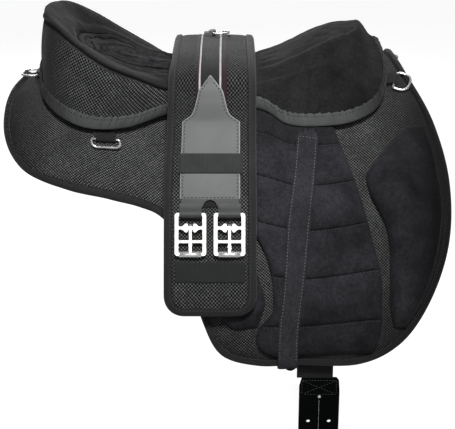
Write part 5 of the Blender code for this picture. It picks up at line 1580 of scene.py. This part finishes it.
def make_rings():
    for word, side in SIDES.items():
        here, forward, down = ring_frame(*SIDE_RING_AT, RING_LIFT, side)
        make_ring_and_tab("rear", f"_{word}", here, *turned(down, forward, SIDE_RING_TURN, side), SIDE_RING)
        here, forward, down = ring_frame(*FRONT_RING_AT, RING_LIFT, side)
        make_ring_and_tab("front", f"_{word}", here, *turned(forward, down, FRONT_RING_TURN, -side), FRONT_RING)
    here = Vector((CRUPPER_RING_X, 0.0, ridge(CRUPPER_RING_X) + RING_LIFT))
    make_ring_and_tab("crupper", "", here, Vector((0, 1, 0)), -X_AXIS, CRUPPER_RING)
    make_ring_and_tab("girth", "", Vector(GIRTH_RING_MIDDLE), Vector(GIRTH_RING_BAR), X_AXIS, CRUPPER_RING,
                      GREY_LEATHER, "girth_leather", "girth")


make_rings()
print("rings done")

# %% [markdown]
# ## Billets
# Below each flap a folded piece of webbing carries two leather billets, cut from one leather with a slit
# between them. The top is sewn down with a box and a cross, and each billet has its row of holes.

# %% Billets
HANGER_LENGTH = 0.016
BILLET_LENGTH = 0.200
BILLET_WIDTH = 0.0240
BILLET_SLIT = 0.0015
BILLET_CUT = 0.0004         # the soft edges of the slit all but close
BILLET_THICK = 0.0040
BILLET_SLIT_START = 0.030
BILLET_HOLE = 0.0026
BILLET_FIRST_HOLE = 0.060
BILLET_HOLE_STEP = 0.022
BILLET_HOLES = 6
BILLET_SHIFT = 0.0060
BILLET_TIP = 0.020
BILLET_BOX = ((-0.0215, 0.003), (0.0205, 0.003), (0.0205, 0.022), (-0.0215, 0.022))     # the sewn box's corners
RIVET = ((0.0, 0.0), (0.0022, 0.0), (0.0020, 0.0005), (0.0012, 0.0009), (0.0, 0.0010))  # radius and height
RIVET_DOWN = 0.0252


def rounded(half_width, low, high, radius, count=6):
    """A rectangle with rounded corners, as points."""
    loop = []
    corners = ((half_width, high), (-half_width, high), (-half_width, low), (half_width, low))
    for n, (u, v) in enumerate(corners):
        center = (u - math.copysign(radius, u), v - (radius if v == high else -radius))
        loop += circle(radius, count, center, n * QUARTER, QUARTER)
    return loop


def pointed(near, far):
    """The blunt point of one billet, from its near edge to its far edge."""
    start = BILLET_LENGTH - BILLET_TIP
    middle = (near + far) / 2
    angles = [math.pi * k / 12 for k in range(1, 12)]
    point = [(middle + (near - middle) * math.cos(a), start + BILLET_TIP * math.sin(a) ** 0.75) for a in angles]
    return [(near, start), *point, (far, start)]


def billet_loops():
    """The outline of a pair of billets, slit from below, and its holes."""
    slit = BILLET_CUT / 2
    full = BILLET_SLIT / 2 + BILLET_WIDTH
    outer = [(-full + 0.003, 0.0), (full - 0.004, 0.0), (full - 0.001, 0.004), (full, 0.018)]
    outer += [*pointed(full, slit), (slit, BILLET_SLIT_START), (-slit, BILLET_SLIT_START)]
    outer += [*pointed(-slit, -full), (-full, 0.012)]
    center = full - BILLET_WIDTH / 2
    holes = [circle(BILLET_HOLE, 16, (c, BILLET_FIRST_HOLE + k * BILLET_HOLE_STEP))
             for k in range(BILLET_HOLES) for c in (-center, center)]
    return outer, holes


def make_billets():
    middle = sum(WEB_X) / 2
    along, down = X_AXIS, Vector((0, 0, -1))
    radius = WEB_THICK / 2
    for word, side in SIDES.items():
        end = skin(middle, WEB_END, -SKIRT_THICK - UNDER_GAP - WEB_THICK / 2, side)
        pivot = Vector((middle, end.y, end.z - radius - 2 * TOUCH))
        body = f"billets_{word}"
        fold = circle(radius, 14, (0, 0), math.pi, math.pi)
        edge = spread(0.0, HANGER_LENGTH, 24)[1:]
        fold += [(radius * (1 - 0.25 * (k % 8 == 0)), s) for k, s in enumerate(edge)]
        fold += [(-radius, s) for s in reversed(edge)]
        width = WEB_X[1] - WEB_X[0]
        plate(f"webbing_hanger_{word}", [fold], pivot, Vector((0, 1, 0)), down, width, 0.0, WEBBING, "webbing",
              [f"billet_hanger_{word}"], body)
        outer, holes = billet_loops()
        start = pivot + down * (HANGER_LENGTH + TOUCH) + along * BILLET_SHIFT
        plate(f"leather_billets_{word}", [outer, *holes], start, along, down, BILLET_THICK, 0.0007,
              BLACK_LEATHER, "billet_leather", [f"billets_{word}"], body)
        out = Vector((0, side, 0))
        face = out * (BILLET_THICK / 2 + 0.0001)

        def line(a, b):
            places = zip(spread(a[0], b[0], 24), spread(a[1], b[1], 24))
            return [(start + along * u + down * v + face, out) for u, v in places]

        box = BILLET_BOX
        rows = [line(a, b) for a, b in (*zip(box, box[1:] + box[:1]), (box[0], box[2]), (box[1], box[3]))]
        stitches(f"billet_stitches_{word}", rows, GREY_THREAD, "billet_leather", BILLET_STITCH, body)
        head = start + down * RIVET_DOWN
        sections = [[head + face * (1 + lift / (BILLET_THICK / 2)) + along * u + down * v
                     for u, v in circle(max(radius, 0.00005), 14)] for radius, lift in RIVET]
        runs = [0.0, 0.002, 0.003, 0.004, 0.005]
        swept(f"billet_rivet_{word}", sections, False, runs, STEEL, "steel", body=body)


make_billets()
print("billets done")

# %% [markdown]
# ## Buckles
# Four roller buckles. The girth's leather folds round the upper bar of a frame with four bars. The tongue
# turns on the second bar between two knuckles, lies over the third, and rests on the roller of the last.

# %% Buckles
BUCKLE_WIDTH = 0.037
BUCKLE_SPACING = 0.0457
BUCKLE_BAR = 0.0034
BUCKLE_SIDE = 0.0045
BUCKLE_THICK = 0.0036
HINGE_BAR = 0.0160
PLAIN_BAR = 0.0320
END_BAR = 0.0470
BAR_LIFT = GIRTH_THICK + 0.0065
LOOP_WIDTH = 0.0262
LOOP_OUTER = 0.0048
COLLAR_OUTER = 0.0046
TONGUE_WIDTH = 0.0034
TONGUE_THICK = 0.0026
ROLLER_OUTER = 0.0036
ROLLER_BEVEL = 0.0004
ROLLER_PLAY = 0.001         # between each end of a roller and its frame
BAR_HOLE = BUCKLE_BAR / 2 * 1.414 + BORE_GAP        # a round hole that clears a square bar's corners
KNUCKLE = ((0.0110, 0.0), (0.0092, 0.0006), (0.0077, 0.0020), (0.0064, 0.0032), (0.0053, 0.0036),
           (0.0042, 0.0034), (0.0032, 0.0023), (0.0028, 0.0008), (0.0027, 0.0))


def knuckle_edge(bar_edge, way):
    """The edge of the second bar where it swells into a round knuckle on each side of the tongue."""
    half = [(-u, bar_edge + way * rise) for u, rise in KNUCKLE]
    edge = half + [(-u, v) for u, v in reversed(half)]
    return edge if way > 0 else edge[::-1]


def make_tongue(name, start, down, square, node):
    """A buckle's tongue: a collar round the second bar, and a bar that reaches over to the roller."""
    rest = ROLLER_OUTER + TOUCH
    reach = END_BAR - HINGE_BAR
    low = BUCKLE_THICK / 2 + 2 * TOUCH
    start_angle = math.acos(low / COLLAR_OUTER)
    profile = circle(COLLAR_OUTER, 28, (0, 0), QUARTER, 2 * math.pi - start_angle)
    profile += [(reach * 0.75, low + 0.0004), (reach - 0.002, rest), (reach + 0.0015, rest + 0.0001),
                (reach + 0.0024, rest + 0.0004), (reach + 0.0028, rest + TONGUE_THICK * 0.45),
                (reach + 0.0018, rest + TONGUE_THICK * 0.75), (reach, rest + TONGUE_THICK * 0.9),
                (reach * 0.85, low + TONGUE_THICK + 0.0012), (reach * 0.7, low + TONGUE_THICK + 0.0004),
                (reach * 0.4, low + TONGUE_THICK), (reach * 0.2, low + TONGUE_THICK + 0.0002)]
    plate(name, [profile, circle(BAR_HOLE, 20)], start, down, square, TONGUE_WIDTH, 0.0007, STEEL, "steel",
          [node], node)


def make_fold(name, start, side):
    """The leather folded round a buckle's upper bar, with its tail sewn on the girth."""
    _, tangent, square = GIRTH.at(side * (LEATHER_BAR - 0.003))
    down = tangent * side
    profile = circle(LOOP_OUTER, 22, (0, 0), -QUARTER, math.pi)
    profile += [(-0.0025, 0.0042), (-0.0050, 0.0022), (-0.0080, 0.0000), (-0.0130, -0.0008), (-0.0130, -0.0045)]
    plate(name, [profile, circle(BAR_HOLE, 20)], start, down, square, LOOP_WIDTH, 0.0005, LOOP_SHADE_LEATHER,
          "girth_leather", body="girth")


def make_buckles():
    half_bar = BUCKLE_BAR / 2
    window = BUCKLE_WIDTH / 2 - BUCKLE_SIDE
    gaps = ((half_bar, HINGE_BAR - half_bar), (HINGE_BAR + half_bar, PLAIN_BAR - half_bar),
            (PLAIN_BAR + half_bar, END_BAR - half_bar))
    for word, side in SIDES.items():
        for place, label in ((-1, "rear"), (1, "front")):
            _, tangent, square = GIRTH.at(side * (LEATHER_BAR + END_BAR / 2))
            bar, _, bar_normal = GIRTH.at(side * LEATHER_BAR)
            start = bar + X_AXIS * (place * BUCKLE_SPACING / 2) + bar_normal * BAR_LIFT
            down = tangent * side
            along = down.cross(square)
            frame_body = f"buckle_frame_{word}_{label}"
            outer = rounded(BUCKLE_WIDTH / 2, -half_bar, END_BAR + half_bar, 0.0032)
            holes = [rounded(window, a, b, 0.0016, 5) for a, b in gaps]
            holes[0][5:5] = knuckle_edge(HINGE_BAR - half_bar, -1)
            holes[1][15:15] = knuckle_edge(HINGE_BAR + half_bar, 1)
            plate(f"frame_{word}_{label}", [outer, *holes], start, along, down, BUCKLE_THICK, 0.0011, STEEL,
                  "steel", [frame_body], frame_body)
            hinge = start + down * HINGE_BAR
            make_tongue(f"tongue_{word}_{label}", hinge, down, square, f"buckle_tongue_{word}_{label}")
            roller = f"buckle_roller_{word}_{label}"
            half = window - ROLLER_PLAY
            tube = [(-half + ROLLER_BEVEL, BAR_HOLE), (-half, BAR_HOLE + ROLLER_BEVEL),
                    (-half, ROLLER_OUTER - ROLLER_BEVEL), (-half + ROLLER_BEVEL, ROLLER_OUTER)]
            tube += [(-a, r) for a, r in reversed(tube)]
            middle, other = start + down * END_BAR, along.cross(square).normalized()
            sections = [[middle + along * a + (square * u + other * v) for u, v in circle(r, 28)]
                        for a, r in tube]
            swept(f"roller_{word}_{label}", sections, False, running(tube), STEEL, "steel", [roller], roller)
            make_fold(f"buckle_fold_{word}_{label}", start, side)


make_buckles()
print("buckles done")

# %% [markdown]
# ## Light, floor and background
# The photograph is a studio shot on pure white. A key light above and in front does most of the work, and weak
# ones fill in from the front, from over the far flap and from behind. The floor is white to the camera, apart
# from a share of the object's own shadow.


# %% Lights and floor
def studio_light(name, kind, place, target, energy, **settings):
    data = bpy.data.lights.new(name, kind)
    data.energy = energy
    for key, value in settings.items():
        setattr(data, key, value)
    lamp = bpy.data.objects.new(name, data)
    lamp.location = place
    lamp.rotation_euler = (Vector(target) - Vector(place)).to_track_quat("-Z", "Y").to_euler()
    bpy.context.scene.collection.objects.link(lamp)


KEY_CONE = math.radians(21)       # it fades towards the object's ends and its lower edge
studio_light("key", "SPOT", (0.15, -1.65, 1.62), (0.01, -0.10, -0.03), 335,
             shadow_soft_size=0.28, spot_size=KEY_CONE, spot_blend=1.0)
studio_light("front", "AREA", (0.0, -2.15, 0.85), (0, 0, -0.15), 12, size=2.0)
studio_light("rim", "AREA", (0.40, 0.60, 1.1), (-0.1, 0, 0), 7, size=0.5)
studio_light("back", "AREA", (-0.40, 2.0, 1.1), (0, 0, -0.15), 26, size=1.2)

AMBIENT = 0.05              # white light from all round
world = bpy.data.worlds.new("studio")
bpy.context.scene.world = world
world.use_nodes = True
nodes, links = world.node_tree.nodes, world.node_tree.links
around, seen = nodes["Background"], nodes.new("ShaderNodeBackground")
for light, strength in ((around, AMBIENT), (seen, 1.0)):
    light.inputs["Color"].default_value = (1, 1, 1, 1)
    light.inputs["Strength"].default_value = strength
path = nodes.new("ShaderNodeLightPath")
mixed = nodes.new("ShaderNodeMixShader")
links.new(path.outputs["Is Camera Ray"], mixed.inputs[0])
links.new(around.outputs[0], mixed.inputs[1])
links.new(seen.outputs[0], mixed.inputs[2])
links.new(mixed.outputs[0], nodes["World Output"].inputs["Surface"])

FLOOR_Z = -0.53
FLOOR_SIZE = 14.0
FLOOR_GLOW = 1.34           # enough for the floor to be white to the camera
FLOOR_SHADOW = 0.3          # the share of the floor's own light that the camera sees
bpy.ops.mesh.primitive_plane_add(size=FLOOR_SIZE, location=(0, 0, FLOOR_Z))
floor = bpy.context.object
floor.name = "floor"
paper = Shade("paper", 0.9)
paper.finish((0.8, 0.8, 0.8))
glow = paper.node("ShaderNodeEmission", {}, {"Color": (1, 1, 1, 1), "Strength": FLOOR_GLOW})
camera_ray = paper.node("ShaderNodeLightPath", {}, {}, 0) * (1 - FLOOR_SHADOW)
shader = Signal(paper, paper.shader.outputs[0])
blend = paper.node("ShaderNodeMixShader", {}, {0: camera_ray, 1: shader, 2: glow})
paper.links.new(blend.socket, paper.nodes["Material Output"].inputs["Surface"])
floor.data.materials.append(paper.material)
print("stage done")
